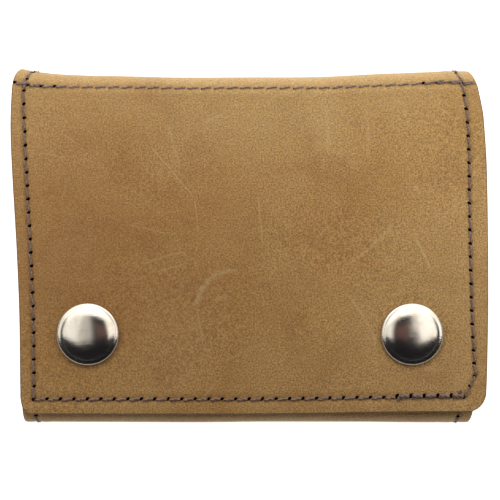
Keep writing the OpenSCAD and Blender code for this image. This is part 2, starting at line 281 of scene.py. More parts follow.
@dataclass(frozen=True)
class LeatherFinish:
    """Waxed pull-up leather with a fine nap, worn patches, scratches, darker cut edges and painted
    light and shade.
    """

    name: str
    body: Colour
    light: Colour
    dark: Colour
    cut: Colour
    grain: float = 0.00038
    scratched: float = 1.0
    rough: float = 0.62

    def build(self) -> bpy.types.Material:
        """Make the material."""
        s = Shader(self.name)
        cloud = s.noise(0.034, 4.0, 0.5, 0.4)
        patch = s.noise(0.011, 6.0, 0.62, 0.3)
        nap = s.noise(self.grain, 2.0, 0.6)
        fleck = s.noise(0.0013, 4.0, 0.65)
        colour = s.mix(s.ramp(cloud, [(0.34, 0.0), (0.70, 0.28)]), self.body, self.light)
        colour = s.mix(s.ramp(patch, [(0.30, 0.28), (0.52, 0.0)]), colour, self.dark)
        colour = s.mix(s.ramp(fleck, [(0.50, 0.0), (0.74, 0.24)]), colour, self.light)
        fine = s.ramp(nap, [(0.34, 0.58), (0.66, 1.42)])
        colour = s.mix(1.0, colour, fine, "MULTIPLY")
        colour = s.mix(self._scratches(s), colour, self.light)
        pores = s.ramp(s.cells(0.0006), [(0.0, 0.5), (0.26, 0.0)])
        colour = s.mix(pores, colour, self.dark)
        # Paler by the bend mark: pull-up paling at the folds, with painted light on the bottom fold
        # and under the top seam.
        colour = s.mix(s.math("MULTIPLY", s.attribute("bend"), 0.32), colour, self.light)
        # Darker along the seams, with painted shade towards the left and the bottom of the front
        # flap.
        colour = s.mix(s.math("MULTIPLY", s.attribute("rub"), 0.6), colour, self.dark)
        fibre = s.noise(0.0006, 4.0, 0.7, 0.0, s.stretched(0.0, (1.0, 1.0, 3.0)))
        edge = s.mix(s.ramp(fibre, [(0.35, 0.0), (0.65, 0.6)]), self.cut, self.dark)
        colour = s.mix(s.attribute("edge"), colour, edge)
        s.set("Base Color", colour)
        s.set("Roughness", s.math("ADD", s.math("MULTIPLY", patch, -0.22), self.rough + 0.11))
        s.set("Specular IOR Level", 0.28)
        s.set("Sheen Weight", 0.10)
        s.set("Sheen Roughness", 0.5)
        coarse = s.bump(s.noise(0.0016, 5.0, 0.6), 0.00016, 0.5)
        creases = s.bump(s.cells(0.0008, "DISTANCE_TO_EDGE"), 0.00005, 0.35, coarse)
        s.set("Normal", s.bump(nap, 0.00009, 0.7, creases))
        return s.material

    def _scratches(self, s: Shader) -> bpy.types.NodeSocket:
        """Faint random scratches, and the drawn ones that the mesh carries as attributes."""
        total: bpy.types.NodeSocket | None = None
        for turn, gap in ((0.35, 0.42), (-0.9, 0.47), (1.35, 0.45)):
            lines = s.noise(0.004, 2.0, 0.5, 0.25, s.stretched(turn, (0.09, 1.6, 1.0)))
            thin = s.ramp(lines, [(gap, 0.0), (gap + 0.008, 0.55), (gap + 0.016, 0.0)])
            where = s.ramp(s.noise(0.013 + 0.004 * turn, 2.0), [(0.5, 0.0), (0.66, 1.0)])
            one = s.math("MULTIPLY", thin, where)
            total = one if total is None else s.math("MAXIMUM", total, one)
        faint = s.math("MULTIPLY", total, 0.35 * self.scratched)
        wobble = s.math("SUBTRACT", s.noise(0.0011, 3.0, 0.6), 0.5)
        reach = s.math("ADD", s.attribute("line"), s.math("MULTIPLY", wobble, 1.8))
        drawn = s.ramp(s.math("ABSOLUTE", reach), [(0.0, 1.0), (1.0, 0.0)])
        broken = s.ramp(s.noise(0.0009, 3.0, 0.6), [(0.34, 0.25), (0.58, 1.0)])
        drawn = s.math("MULTIPLY", s.math("MULTIPLY", drawn, broken), s.attribute("scratch"))
        return s.math("MAXIMUM", faint, s.math("MULTIPLY", drawn, 1.45))


@dataclass(frozen=True)
class ThreadFinish:
    """Waxed twisted thread."""

    name: str
    colour: Colour
    shade: Colour
    shine: float = 0.5

    def build(self) -> bpy.types.Material:
        """Make the material."""
        s = Shader(self.name)
        fuzz = s.noise(0.00035, 3.0, 0.6)
        s.set("Base Color", s.mix(s.ramp(fuzz, [(0.35, 0.0), (0.7, 1.0)]), self.shade, self.colour))
        s.set("Roughness", 0.55)
        s.set("Specular IOR Level", self.shine)
        s.set("Sheen Weight", 0.4 * self.shine)
        s.set("Normal", s.bump(s.noise(0.00012, 2.0), 0.00004, 0.8))
        return s.material


@dataclass(frozen=True)
class MetalFinish:
    """Nickel plate with hairline scratches."""

    name: str
    colour: Colour
    tint: Colour
    rough: float

    def build(self) -> bpy.types.Material:
        """Make the material."""
        s = Shader(self.name)
        haze = s.noise(0.004, 4.0, 0.6, 0.4)
        s.set("Base Color", s.mix(s.ramp(haze, [(0.38, 0.0), (0.7, 1.0)]), self.colour, self.tint))
        s.set("Metallic", 1.0)
        fine = s.noise(0.0006, 3.0, 0.6, 0.0, s.stretched(0.7, (0.12, 2.2, 1.0)))
        s.set("Roughness", s.math("ADD", s.math("MULTIPLY", fine, 0.10), self.rough - 0.05))
        s.set("Normal", s.bump(fine, 0.00002, 0.8))
        return s.material


@dataclass(frozen=True)
class TapeFinish:
    """Herringbone zip tape."""

    name: str
    colour: Colour
    shade: Colour

    def build(self) -> bpy.types.Material:
        """Make the material."""
        s = Shader(self.name)
        weave = s.tree.nodes.new("ShaderNodeTexWave")
        weave.wave_type = "BANDS"
        weave.bands_direction = "DIAGONAL"
        s.feed(weave.inputs["Vector"], s.place)
        weave.inputs["Scale"].default_value = 420.0
        weave.inputs["Distortion"].default_value = 0.6
        threads = weave.outputs["Fac"]
        s.set("Base Color", s.mix(threads, self.shade, self.colour))
        s.set("Roughness", 0.8)
        s.set("Sheen Weight", 0.25)
        s.set("Normal", s.bump(threads, 0.00008, 0.9))
        return s.material


class Finish(Enum):
    """Every finish of the wallet, with the material slot of the record that it belongs to."""

    TAN = LeatherFinish("tan_leather", linear(165, 126, 71), linear(197, 171, 122),
                        linear(124, 77, 38), linear(100, 70, 40))
    POCKET = LeatherFinish("pocket_leather", linear(168, 131, 82), linear(194, 160, 110),
                           linear(132, 97, 56), linear(104, 74, 44), scratched=0.4)
    LINING = LeatherFinish("lining_leather", linear(128, 92, 58), linear(148, 110, 72),
                           linear(96, 66, 40), linear(88, 60, 38), 0.0003, 0.15, 0.7)
    THREAD = ThreadFinish("thread", linear(150, 128, 118), linear(92, 72, 62))
    # Painted shadow: near-black lenses fill the needle holes in place of the shade inside them.
    HOLE = ThreadFinish("needle_hole", linear(16, 9, 5), linear(8, 5, 3), 0.0)
    NICKEL = MetalFinish("snap_nickel", linear(211, 205, 196), linear(196, 187, 172), 0.2)
    ZIP = MetalFinish("zip_metal", linear(214, 206, 194), linear(190, 178, 160), 0.26)
    TAPE = TapeFinish("zip_tape", linear(92, 66, 44), linear(56, 39, 26))

    @property
    def slot(self) -> str:
        """Name of the record's material slot."""
        return "thread" if self is Finish.HOLE else self.value.name


class Wardrobe:
    """Holds each finish's material, made once."""

    def __init__(self) -> None:
        """Start with nothing made."""
        self._made: dict[Finish, bpy.types.Material] = {}

    def material(self, finish: Finish) -> bpy.types.Material:
        """The material of a finish."""
        if finish not in self._made:
            self._made[finish] = finish.value.build()
        return self._made[finish]

    def dress(self, piece: bpy.types.Object, finish: Finish) -> bpy.types.Object:
        """Give a piece its finish."""
        piece.data.materials.clear()
        piece.data.materials.append(self.material(finish))
        finish.slot
        return piece

    def fit(self, piece: bpy.types.Object, finish: Finish, body: str, *nodes: str) -> None:
        """Dress a piece, put it in the place of nodes of the frame and tie it to its body."""
        self.dress(piece, finish)
        if nodes:
            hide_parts(*nodes)
        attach(piece, body)


# ---------------------------------------------------------------- meshes


def mesh_object(name: str, shape: bmesh.types.BMesh, flat: bool = False) -> bpy.types.Object:
    """Turn a bmesh, in millimetres, into an object of the scene in metres."""
    bmesh.ops.recalc_face_normals(shape, faces=shape.faces)
    bmesh.ops.scale(shape, vec=(MM, MM, MM), verts=shape.verts)
    for face in shape.faces:
        face.smooth = not flat
    mesh = bpy.data.meshes.new(name)
    shape.to_mesh(mesh)
    shape.free()
    piece = bpy.data.objects.new(name, mesh)
    bpy.context.scene.collection.objects.link(piece)
    return piece


def finished(piece: bpy.types.Object) -> bpy.types.Object:
    """Apply every modifier of a piece and leave a plain mesh."""
    graph = bpy.context.evaluated_depsgraph_get()
    mesh = bpy.data.meshes.new_from_object(piece.evaluated_get(graph))
    piece.modifiers.clear()
    old = piece.data
    piece.data = mesh
    bpy.data.meshes.remove(old)
    return piece


def template(piece: bpy.types.Object) -> bpy.types.Object:
    """Take a piece out of the scene, to be repeated by Geometry Nodes."""
    bpy.context.scene.collection.objects.unlink(piece)
    return piece


def bevelled(piece: bpy.types.Object, width: float, segments: int = 2) -> bpy.types.Object:
    """Round the sharp edges of a piece by width millimetres."""
    bevel = piece.modifiers.new("bevel", "BEVEL")
    bevel.width = width * MM
    bevel.segments = segments
    bevel.limit_method = "ANGLE"
    bevel.angle_limit = math.radians(SHARP_ANGLE)
    bevel.harden_normals = False
    return finished(piece)


def circle(radius: float, sides: int) -> list[tuple[float, float]]:
    """Points evenly round a circle about the origin."""
    return [(radius * math.cos(2 * math.pi * k / sides), radius * math.sin(2 * math.pi * k / sides))
            for k in range(sides)]


def tube(shape: bmesh.types.BMesh, rings: Sequence[Sequence[tuple[float, float, float]]]) -> None:
    """Add a tube skinned over rings of points, closed at both ends, to a bmesh."""
    made = [[shape.verts.new(point) for point in ring] for ring in rings]
    count = len(made[0])
    for first, second in zip(made, made[1:]):
        for k in range(count):
            j = (k + 1) % count
            shape.faces.new((first[k], first[j], second[j], second[k]))
    shape.faces.new(made[0])
    shape.faces.new(list(reversed(made[-1])))


def lathe(name: str, outline: Sequence[tuple[float, float]], centre: tuple[float, float, float],
          steps: int = 72, closed: bool = False) -> bpy.types.Object:
    """Turn an outline of radius and height about a vertical axis.

    Args:
        name: name of the piece.
        outline: radius and height of each point, in millimetres, from the axis outwards.
        centre: where the axis stands and height zero lies.
        steps: number of steps round.
        closed: whether the outline closes on itself, as for a ring.

    Returns:
        The turned piece.
    """
    shape = bmesh.new()
    rings: list[list[bmesh.types.BMVert]] = []
    for radius, height in outline:
        ring = [(0.0, 0.0)] if radius < 1e-6 else circle(radius, steps)
        rings.append([shape.verts.new((centre[0] + x, centre[1] + y, centre[2] + height))
                      for x, y in ring])
    pairs = list(zip(rings, rings[1:]))
    if closed:
        pairs.append((rings[-1], rings[0]))
    for first, second in pairs:
        for i in range(steps):
            j = (i + 1) % steps
            if len(first) == 1 and len(second) == 1:
                continue
            if len(first) == 1:
                shape.faces.new((first[0], second[i], second[j]))
            elif len(second) == 1:
                shape.faces.new((first[i], first[j], second[0]))
            else:
                shape.faces.new((first[i], first[j], second[j], second[i]))
    return mesh_object(name, shape)


def arc(centre: tuple[float, float], radius: float, start: float, end: float,
        steps: int = 6) -> list[tuple[float, float]]:
    """Points along an arc between two angles in degrees."""
    return [(centre[0] + radius * math.cos(math.radians(start + (end - start) * i / steps)),
             centre[1] + radius * math.sin(math.radians(start + (end - start) * i / steps)))
            for i in range(steps + 1)]


@dataclass(frozen=True)
class Column:
    """A line of points along a sheet: which side it is measured from, how far, and its depth."""

    side: int
    inset: float
    depth: float


@dataclass(frozen=True)
class Row:
    """A line of points across a sheet: its place, how far its edge is rounded and narrowed."""

    place: float
    rounding: float = 0.0
    narrow: float = 0.0


@dataclass
class Sheet:
    """A sheet of leather meshed as a closed solid with rounded edges.

    Args:
        name: name of the piece.
        surface: maps x, place along the sheet and depth from 0 to 1 to a point in millimetres.
        left: x of the left edge at a place.
        right: x of the right edge at a place.
        start: place of the first row.
        end: place of the last row.
        thickness: thickness of the leather.
        step: spacing of the points.
        start_corner: corner radius at the start, or None where the sheet carries on.
        end_corner: corner radius at the end, or None where the sheet carries on.
        round_r: radius of the rounded edges.
        margin: width of the strip along each side that has closer points.
        margin_step: spacing of the points there.
        marks: numbers stored on the points, each worked out from x and place.
    """

    ANGLES = tuple(math.radians(a) for a in (0, 30, 60, 90))
    name: str
    surface: Surface
    left: Callable[[float], float]
    right: Callable[[float], float]
    start: float
    end: float
    thickness: float
    step: float = 1.0
    start_corner: float | None = None
    end_corner: float | None = None
    round_r: float = 0.3
    margin: float = 6.5
    margin_step: float = 0.45
    marks: dict[str, Callable[[float, float], float]] = field(default_factory=dict)

    def build(self) -> bpy.types.Object:
        """Mesh the sheet."""
        shape = bmesh.new()
        layers = {name: shape.verts.layers.float.new(name) for name in ("edge", *self.marks)}
        half = self._columns()
        ring = half + [Column(c.side, c.inset, 1.0 - c.depth) for c in reversed(half)]
        rows = self._rows()
        grid = []
        for row in rows:
            low, high = self.left(row.place) + row.narrow, self.right(row.place) - row.narrow
            line = []
            for column in ring:
                x = self._x(column, low, high)
                depth = row.rounding + column.depth * (1.0 - 2.0 * row.rounding)
                vert = shape.verts.new(self.surface(x, row.place, depth))
                vert[layers["edge"]] = 1.0 if 0.02 < depth < 0.98 else 0.0
                for mark, value in self.marks.items():
                    vert[layers[mark]] = value(x, row.place)
                line.append(vert)
            grid.append(line)
        self._skin(shape, grid)
        return mesh_object(self.name, shape)

    @staticmethod
    def _x(column: Column, low: float, high: float) -> float:
        """Place of a column across a row."""
        if column.side < 0:
            return low + column.inset
        if column.side > 0:
            return high - column.inset
        return low + (high - low) * column.inset

    @staticmethod
    def _skin(shape: bmesh.types.BMesh, grid: list[list[bmesh.types.BMVert]]) -> None:
        """Join the rows, and close both ends."""
        count = len(grid[0])
        for first, second in zip(grid, grid[1:]):
            for i in range(count):
                j = (i + 1) % count
                shape.faces.new((first[i], first[j], second[j], second[i]))
        for line in (grid[0], grid[-1]):
            for i in range(count // 2 - 1):
                shape.faces.new((line[i], line[i + 1], line[count - 2 - i], line[count - 1 - i]))

    def _columns(self) -> list[Column]:
        """Columns of the outer face, from the left edge to the right."""
        rounding = self.round_r / self.thickness
        left = [Column(-1, self.round_r * (1 - math.cos(a)), rounding * (1 - math.sin(a)))
                for a in self.ANGLES]
        count = max(int((self.margin - self.round_r) / self.margin_step), 1)
        gap = (self.margin - self.round_r) / count
        left += [Column(-1, self.round_r + gap * i, 0.0) for i in range(1, count + 1)]
        half_way = self.start + 0.5 * (self.end - self.start)
        width = self.right(half_way) - self.left(half_way)
        share = self.margin / width
        middle_count = max(int((width - 2 * self.margin) / self.step), 2)
        middle = [Column(0, share + (1 - 2 * share) * i / middle_count, 0.0)
                  for i in range(1, middle_count)]
        right = [Column(1, c.inset, c.depth) for c in reversed(left)]
        return left + middle + right

    def _rows(self) -> list[Row]:
        """Rows from the start to the end, with free ends rounded."""
        low = self.start + (self.start_corner or 0.0)
        high = self.end - (self.end_corner or 0.0)
        count = max(int((high - low) / self.step), 1)
        rows = [Row(low + (high - low) * i / count) for i in range(count + 1)]
        if self.start_corner is not None:
            rows = [Row(self.start + r.place, r.rounding, r.narrow)
                    for r in self._free_end(self.start_corner)][:-1] + rows
        if self.end_corner is not None:
            rows += [Row(self.end - r.place, r.rounding, r.narrow)
                     for r in reversed(self._free_end(self.end_corner))][1:]
        return rows

    def _free_end(self, corner: float) -> list[Row]:
        """Rows from a free edge inwards, past its rounded corners."""
        share = self.round_r / self.thickness
        places = [self.round_r * (1 - math.cos(a)) for a in self.ANGLES]
        sizes = [share * (1 - math.sin(a)) for a in self.ANGLES]
        if corner > self.round_r:
            steps = max(int(corner / 0.35), 6)
            extra = [corner * (1 - math.cos(math.pi / 2 * i / steps)) for i in range(1, steps + 1)]
            more = [p for p in extra if p > self.round_r * 1.05]
            places += more
            sizes += [0.0] * len(more)
        rows = []
        for place, size in zip(places, sizes):
            drop = corner - math.sqrt(max(corner ** 2 - (corner - min(place, corner)) ** 2, 0.0))
            rows.append(Row(place, size, drop * 0.96))
        return rows


class Repeat:
    """A Geometry Nodes tree that sets one piece at each point of a path."""

    INPUTS = (("Piece", "NodeSocketObject"), ("Turn", "NodeSocketFloat"),
              ("Jitter", "NodeSocketFloat"), ("Seed", "NodeSocketInt"),
              ("Finish", "NodeSocketMaterial"))

    def __init__(self) -> None:
        """Build the tree."""
        tree = bpy.data.node_groups.new("repeat_along_path", "GeometryNodeTree")
        face = tree.interface
        face.new_socket("Geometry", in_out="INPUT", socket_type="NodeSocketGeometry")
        self.ids = {name: face.new_socket(name, in_out="INPUT", socket_type=kind).identifier
                    for name, kind in self.INPUTS}
        face.new_socket("Geometry", in_out="OUTPUT", socket_type="NodeSocketGeometry")
        self.tree = tree
        new, link = tree.nodes.new, tree.links.new
        start, end = new("NodeGroupInput"), new("NodeGroupOutput")
        info = new("GeometryNodeObjectInfo")
        link(start.outputs["Piece"], info.inputs["Object"])
        along, up = self._vector("along"), self._vector("up")
        lift = new("FunctionNodeAlignRotationToVector")
        lift.axis = "Z"
        link(up, lift.inputs["Vector"])
        point = new("FunctionNodeAlignRotationToVector")
        point.axis = "X"
        point.pivot_axis = "Z"
        link(lift.outputs[0], point.inputs["Rotation"])
        link(along, point.inputs["Vector"])
        wobble = new("FunctionNodeRandomValue")
        wobble.data_type = "FLOAT"
        link(start.outputs["Seed"], wobble.inputs["Seed"])
        scatter = new("ShaderNodeMath")
        scatter.operation = "MULTIPLY_ADD"
        centred = new("ShaderNodeMath")
        centred.operation = "SUBTRACT"
        centred.inputs[1].default_value = 0.5
        link(wobble.outputs[1], centred.inputs[0])
        link(centred.outputs[0], scatter.inputs[0])
        link(start.outputs["Jitter"], scatter.inputs[1])
        link(start.outputs["Turn"], scatter.inputs[2])
        spin = new("FunctionNodeAxisAngleToRotation")
        spin.inputs["Axis"].default_value = (0.0, 0.0, 1.0)
        link(scatter.outputs[0], spin.inputs["Angle"])
        turned = new("FunctionNodeRotateRotation")
        turned.rotation_space = "LOCAL"
        link(point.outputs[0], turned.inputs["Rotation"])
        link(spin.outputs[0], turned.inputs["Rotate By"])
        place = new("GeometryNodeInstanceOnPoints")
        link(start.outputs["Geometry"], place.inputs["Points"])
        link(info.outputs["Geometry"], place.inputs["Instance"])
        link(turned.outputs[0], place.inputs["Rotation"])
        real = new("GeometryNodeRealizeInstances")
        link(place.outputs[0], real.inputs[0])
        finish = new("GeometryNodeSetMaterial")
        link(real.outputs[0], finish.inputs["Geometry"])
        link(start.outputs["Finish"], finish.inputs["Material"])
        link(finish.outputs[0], end.inputs["Geometry"])

    def _vector(self, name: str) -> bpy.types.NodeSocket:
        """A vector stored on the points."""
        node = self.tree.nodes.new("GeometryNodeInputNamedAttribute")
        node.data_type = "FLOAT_VECTOR"
        node.inputs["Name"].default_value = name
        return node.outputs["Attribute"]

    def run(self, name: str, spots: Iterable["Spot"], piece: bpy.types.Object,
            material: bpy.types.Material, turn: float = 0.0, jitter: float = 0.0,
            seed: int = 1) -> bpy.types.Object:
        """Set a piece at every spot and return them as one mesh.

        Args:
            name: name of the new piece.
            spots: where each copy goes.
            piece: what is repeated, in metres about the origin.
            material: finish of the copies.
            turn: angle of each copy in its own plane, in radians.
            jitter: range of the random angle added to it, in radians.
            seed: seed of the random angle.

        Returns:
            One plain mesh object.
        """
        spots = list(spots)
        mesh = bpy.data.meshes.new(name)
        mesh.from_pydata([tuple(c * MM for c in s.place) for s in spots], [], [])
        for label, values in (("along", [s.along for s in spots]), ("up", [s.up for s in spots])):
            layer = mesh.attributes.new(label, "FLOAT_VECTOR", "POINT")
            layer.data.foreach_set("vector", [c for v in values for c in v])
        target = bpy.data.objects.new(name, mesh)
        bpy.context.scene.collection.objects.link(target)
        modifier = target.modifiers.new("repeat", "NODES")
        modifier.node_group = self.tree
        for label, value in (("Piece", piece), ("Turn", turn), ("Jitter", jitter),
                             ("Seed", seed), ("Finish", material)):
            modifier[self.ids[label]] = value
        finished(target)
        for label in ("along", "up"):
            stored = target.data.attributes.get(label)
            if stored is not None:
                target.data.attributes.remove(stored)
        return target


@dataclass(frozen=True)
class Spot:
    """A place on a surface, with the direction along a row and the way up."""

    place: tuple[float, float, float]
    along: tuple[float, float, float]
    up: tuple[float, float, float]


# ---------------------------------------------------------------- the strip of leather


@dataclass
class StripPath:
    """Side view of the leather's outer face: straight runs and bends that all turn the same way.

    Args:
        start: Y and Z of the first point, at the front flap's free edge.
        runs: length and radius of each run; a straight run has radius 0.
    """

    start: tuple[float, float]
    runs: list[tuple[float, float]]

    def at(self, place: float) -> tuple[float, float, float, float]:
        """Y and Z of a place along the strip, and the outward normal there."""
        (y, z), heading = self.start, 0.0
        for length, radius in self.runs:
            step = min(place, length)
            if radius == 0.0:
                y, z = y + step * math.cos(heading), z + step * math.sin(heading)
            else:
                centre = (y + radius * math.sin(heading), z - radius * math.cos(heading))
                heading -= step / radius
                y = centre[0] - radius * math.sin(heading)
                z = centre[1] + radius * math.cos(heading)
            place -= step
            if place <= 1e-9:
                break
        return y, z, -math.sin(heading), math.cos(heading)


@dataclass
class Seam:
    """A row of stitches across or along the strip.

    Args:
        across: true for a row that runs across the strip, at a steady place along it.
        line: x at a place for a row along the strip, or the place at an x for one across it.
        start: place, or x, of the first hole.
        end: place, or x, of the last hole.
        pitch: distance between holes.
        hole_side: which side of the thread the needle holes show on.
        hole_turn: how far each hole is turned out of the row, in radians.
        groove: depth and width of the groove that the thread lies in.
        pucker: how much deeper each hole pulls the groove, and how wide.
        ridge: height, distance from the row and width of the ridge beside the groove.
    """

    across: bool
    line: Callable[[float], float]
    start: float
    end: float
    pitch: float = 3.2
    hole_side: float = 1.0
    hole_turn: float = 0.55
    groove: tuple[float, float] = (0.13, 0.75)
    pucker: tuple[float, float] = (0.14, 0.45)
    ridge: tuple[float, float, float] = (0.05, 1.9, 0.9)
    run_out: float = 1.5

    @property
    def count(self) -> int:
        """Number of stitches."""
        return max(round((self.end - self.start) / self.pitch), 1)

    def hole(self, i: int) -> tuple[float, float]:
        """X and place of hole i."""
        t = self.start + (self.end - self.start) * i / self.count
        return (t, self.line(t)) if self.across else (self.line(t), t)

    def press(self, x: float, place: float) -> float:
        """How far the seam pulls the leather in at a point, in millimetres."""
        along, side = (x, place) if self.across else (place, x)
        if not self.start - self.run_out < along < self.end + self.run_out:
            return 0.0
        gap = abs(side - self.line(along))
        height, ridge_at, ridge_w = self.ridge
        if gap > ridge_at + 2.0 * ridge_w + 0.3:
            return 0.0
        phase = (along - self.start) / (self.end - self.start) * self.count
        hole = 0.5 + 0.5 * math.cos(2 * math.pi * phase)
        fade = smooth(self.run_out, 0.0, self.start - along)
        fade *= smooth(self.run_out, 0.0, along - self.end)
        return fade * (self.groove[0] * bell(gap, self.groove[1])
                       + self.pucker[0] * hole * bell(gap, self.pucker[1])
                       - height * bell(gap - ridge_at, ridge_w))


@dataclass
class WalletStrip:
    """The one strip of leather that makes the wallet, as a surface that its layers share."""

    leather: float = 1.5
    lining: float = 0.9
    top_radius: float = 4.0
    bottom_radius: float = 3.2
    bottom_seam: float = 3.6
    inner_seam: float = 3.25
    corner_x: tuple[float, float] = (51.4, 54.0)
    corner_rise: float = 5.2
    short_pitch: float = 2.6
    left: Profile = Profile(((0.0, -56.2), (1.0, -55.8), (2.0, -55.45), (3.0, -55.15),
                             (4.6, -55.05), (8.0, -55.1), (24.0, -55.3), (39.0, -55.9),
                             (58.0, -57.0), (68.0, -57.4), (75.0, -57.2), (79.0, -56.8),
                             (81.8, -55.9), (84.6, -54.7), (88.7, -54.2), (94.0, -54.8),
                             (102.0, -55.5), (170.0, -55.3), (177.0, -55.0), (181.0, -54.5),
                             (183.6, -54.0), (186.3, -54.5), (190.5, -55.0), (200.0, -55.3),
                             (244.0, -55.2)))
    right: Profile = Profile(((0.0, 56.5), (9.0, 56.8), (28.0, 57.1), (58.0, 56.8),
                              (71.0, 56.0), (74.0, 55.5), (76.8, 54.9), (79.0, 54.4),
                              (80.8, 53.7), (82.4, 53.1), (84.6, 52.5), (88.7, 52.2),
                              (94.0, 53.1), (102.0, 54.4), (170.0, 54.6), (177.0, 53.9),
                              (181.0, 53.0), (183.6, 52.5), (186.3, 53.0), (190.5, 53.9),
                              (200.0, 54.6), (244.0, 54.6)))
    crown: Profile = Profile(((-57.5, 1.2), (-55.3, 0.9), (-53.5, 0.35), (-51.0, -0.05),
                              (-47.0, -0.5), (-40.0, -0.85), (-30.0, -1.05), (-17.0, -1.35),
                              (0.0, -1.3), (17.0, -1.2), (31.0, -0.5), (43.0, -0.05),
                              (48.0, 0.2), (51.0, 0.15), (53.0, 0.2), (57.0, 0.5)))
    top_line: Profile = Profile(((-57.0, 0.6), (-53.0, 0.75), (-45.0, 1.2), (-36.0, 1.5),
                                 (0.0, 1.65), (36.0, 1.45), (45.0, 1.6), (53.0, 1.2),
                                 (57.0, 1.0)))
    left_inset: Profile = Profile(((0.0, 3.2), (40.0, 3.25), (68.0, 3.3), (78.0, 2.7),
                                   (90.0, 3.0)))
    right_inset: Profile = Profile(((0.0, 2.8), (9.0, 2.9), (24.0, 3.8), (50.0, 4.25),
                                    (68.0, 3.9), (79.0, 3.5), (90.0, 3.2)))

    def __post_init__(self) -> None:
        """Read the main sizes from the frame and lay out the path."""
        flap, inner = Box.of("flap_shell"), Box.of("inner_shell")
        self.half_h = Box.of("top_fold_shell").high.y
        self.height = flap.high.z
        self.inner_height = inner.high.z
        self.flap_edge = flap.low.y
        self.inner_edge = inner.high.y
        self.snap = Box.of("snap_cap_right").middle
        r, q = self.top_radius, self.bottom_radius
        bend_top, bend_bottom = math.pi / 2 * r, math.pi / 2 * q
        self.runs = [(self.half_h - r - self.flap_edge, 0.0), (bend_top, r),
                     (self.height - 2 * r, 0.0), (bend_top, r),
                     (2 * self.half_h - r - q, 0.0), (bend_bottom, q),
                     (self.inner_height - 2 * q, 0.0), (bend_bottom, q),
                     (self.inner_edge + self.half_h - q, 0.0)]
        self.path = StripPath((self.flap_edge, self.height), self.runs)
        ends = [0.0]
        for length, _ in self.runs:
            ends.append(ends[-1] + length)
        self.ends = ends
        self.length = ends[-1]
        self.skin = self.leather + self.lining
        self.mid_top = (ends[2] + ends[3]) / 2
        self.mid_back = (ends[4] + ends[5]) / 2
        self.mid_bottom = (ends[6] + ends[7]) / 2
        self.seams = self._seams()

    def _left_seam(self, place: float) -> float:
        """X of the left seam at a place."""
        return self.left.at(place) + self.left_inset.at(place)

    def _right_seam(self, place: float) -> float:
        """X of the right seam at a place."""
        return self.right.at(place) - self.right_inset.at(place)

    def _seams(self) -> dict[str, Seam]:
        """Every row of stitches of the outer leather."""
        low, high, fold = self.bottom_seam, self.length - self.inner_seam, self.ends[1]
        left, right = self._left_seam, self._right_seam
        (x0, x1), turn = self.corner_x, low + self.corner_rise
        return {
            "left": Seam(False, left, low, high, hole_side=-1.0, hole_turn=-1.1),
            "right": Seam(False, right, turn, high, hole_turn=1.0),
            "corner": Seam(False, lambda p: x0 + (p - low) * (x1 - x0) / (turn - low), low, turn,
                           self.short_pitch),
            "bottom": Seam(True, lambda x: low, left(low), x0),
            "top": Seam(True, lambda x: fold + self.top_line.at(x), self.left.at(fold) + 0.6,
                        self.right.at(fold) - 0.5, hole_turn=0.3),
            "inner": Seam(True, lambda x: high, left(high), right(high)),
        }

    def place_of(self, y: float, part: "Part") -> float:
        """Place along the strip of a Y on one of its three flat panels."""
        if part is Part.FLAP:
            return y - self.flap_edge
        if part is Part.BACK:
            return self.ends[4] + (self.half_h - self.top_radius - y)
        return self.ends[8] + (y + self.half_h - self.bottom_radius)

    def shift(self, x: float, place: float) -> float:
        """How far the leather moves along Y: the hollow crown and the uneven bottom edge."""
        crown = self.crown.at(x)
        bent = smooth(58.0, self.ends[2], place) * (1.0 - smooth(self.ends[3], 118.0, place))
        low = 0.6 * smooth(-5.0, 50.0, x) * (1.0 - smooth(0.0, 22.0, place))
        return crown * bent + low

    def swell(self, x: float, place: float) -> float:
        """How far the outer face stands out: soft waves, rounded folds, dips round the snaps."""
        e = self.ends
        waves = 0.0
        if place < e[2] or place > e[7]:
            fade = 1.0 - smooth(e[1] - 12.0, e[1], place) if place < e[2] else 1.0
            waves = 0.22 * fade * noise.noise(Vector((x / 26.0, place / 21.0, 3.7)))
            waves -= 0.10 * fade * bell(min(place, 30.0), 5.0) * smooth(20.0, 50.0, abs(x))
        top = 0.7 * self._bulge(place, e[1], e[4])
        bottom = 0.25 * self._bulge(place, e[5], e[8])
        y = self.flap_edge + place
        reach = math.hypot(abs(x) - self.snap.x, y - self.snap.y) if place < e[1] else 99.0
        dip = 0.22 * bell(max(reach - 7.3, 0.0), 1.7)
        waves *= 1.0 - bell(reach, 9.0)
        return waves + top + bottom - dip

    @staticmethod
    def _bulge(place: float, low: float, high: float) -> float:
        """Height from 0 to 1 and back across a fold."""
        if not low < place < high:
            return 0.0
        return math.sin(math.pi * (place - low) / (high - low)) ** 2

    def press(self, x: float, place: float) -> float:
        """How far the seams pull the leather in."""
        return sum(seam.press(x, place) for seam in self.seams.values())

    def point(self, x: float, place: float, depth: float) -> tuple[float, float, float]:
        """A point of the strip at a depth below its outer face."""
        y, z, ny, nz = self.path.at(place)
        out = self.swell(x, place) - depth
        return x, y + self.shift(x, place) + ny * out, z + nz * out

    def normal(self, place: float) -> tuple[float, float, float]:
        """Outward normal at a place."""
        _, _, ny, nz = self.path.at(place)
        return 0.0, ny, nz

    def layer(self, outer: float, inner: float, outside: float = 0.0,
              inside: float = 0.0) -> Surface:
        """Surface of a layer between two depths.

        Args:
            outer: depth of the face that looks out.
            inner: depth of the face that looks in.
            outside: how strongly the seams press into the outer face, 0 to 1.
            inside: how strongly they press into the inner face, 0 to 1.

        Returns:
            A function of x, place and depth share.
        """
        def surface(x: float, place: float, share: float) -> tuple[float, float, float]:
            """A point of the layer."""
            pull = self.press(x, place) if outside or inside else 0.0
            depth = outer + (inner - outer) * share
            depth += pull * (outside * (1.0 - share) - inside * share)
            return self.point(x, place, depth)
        return surface

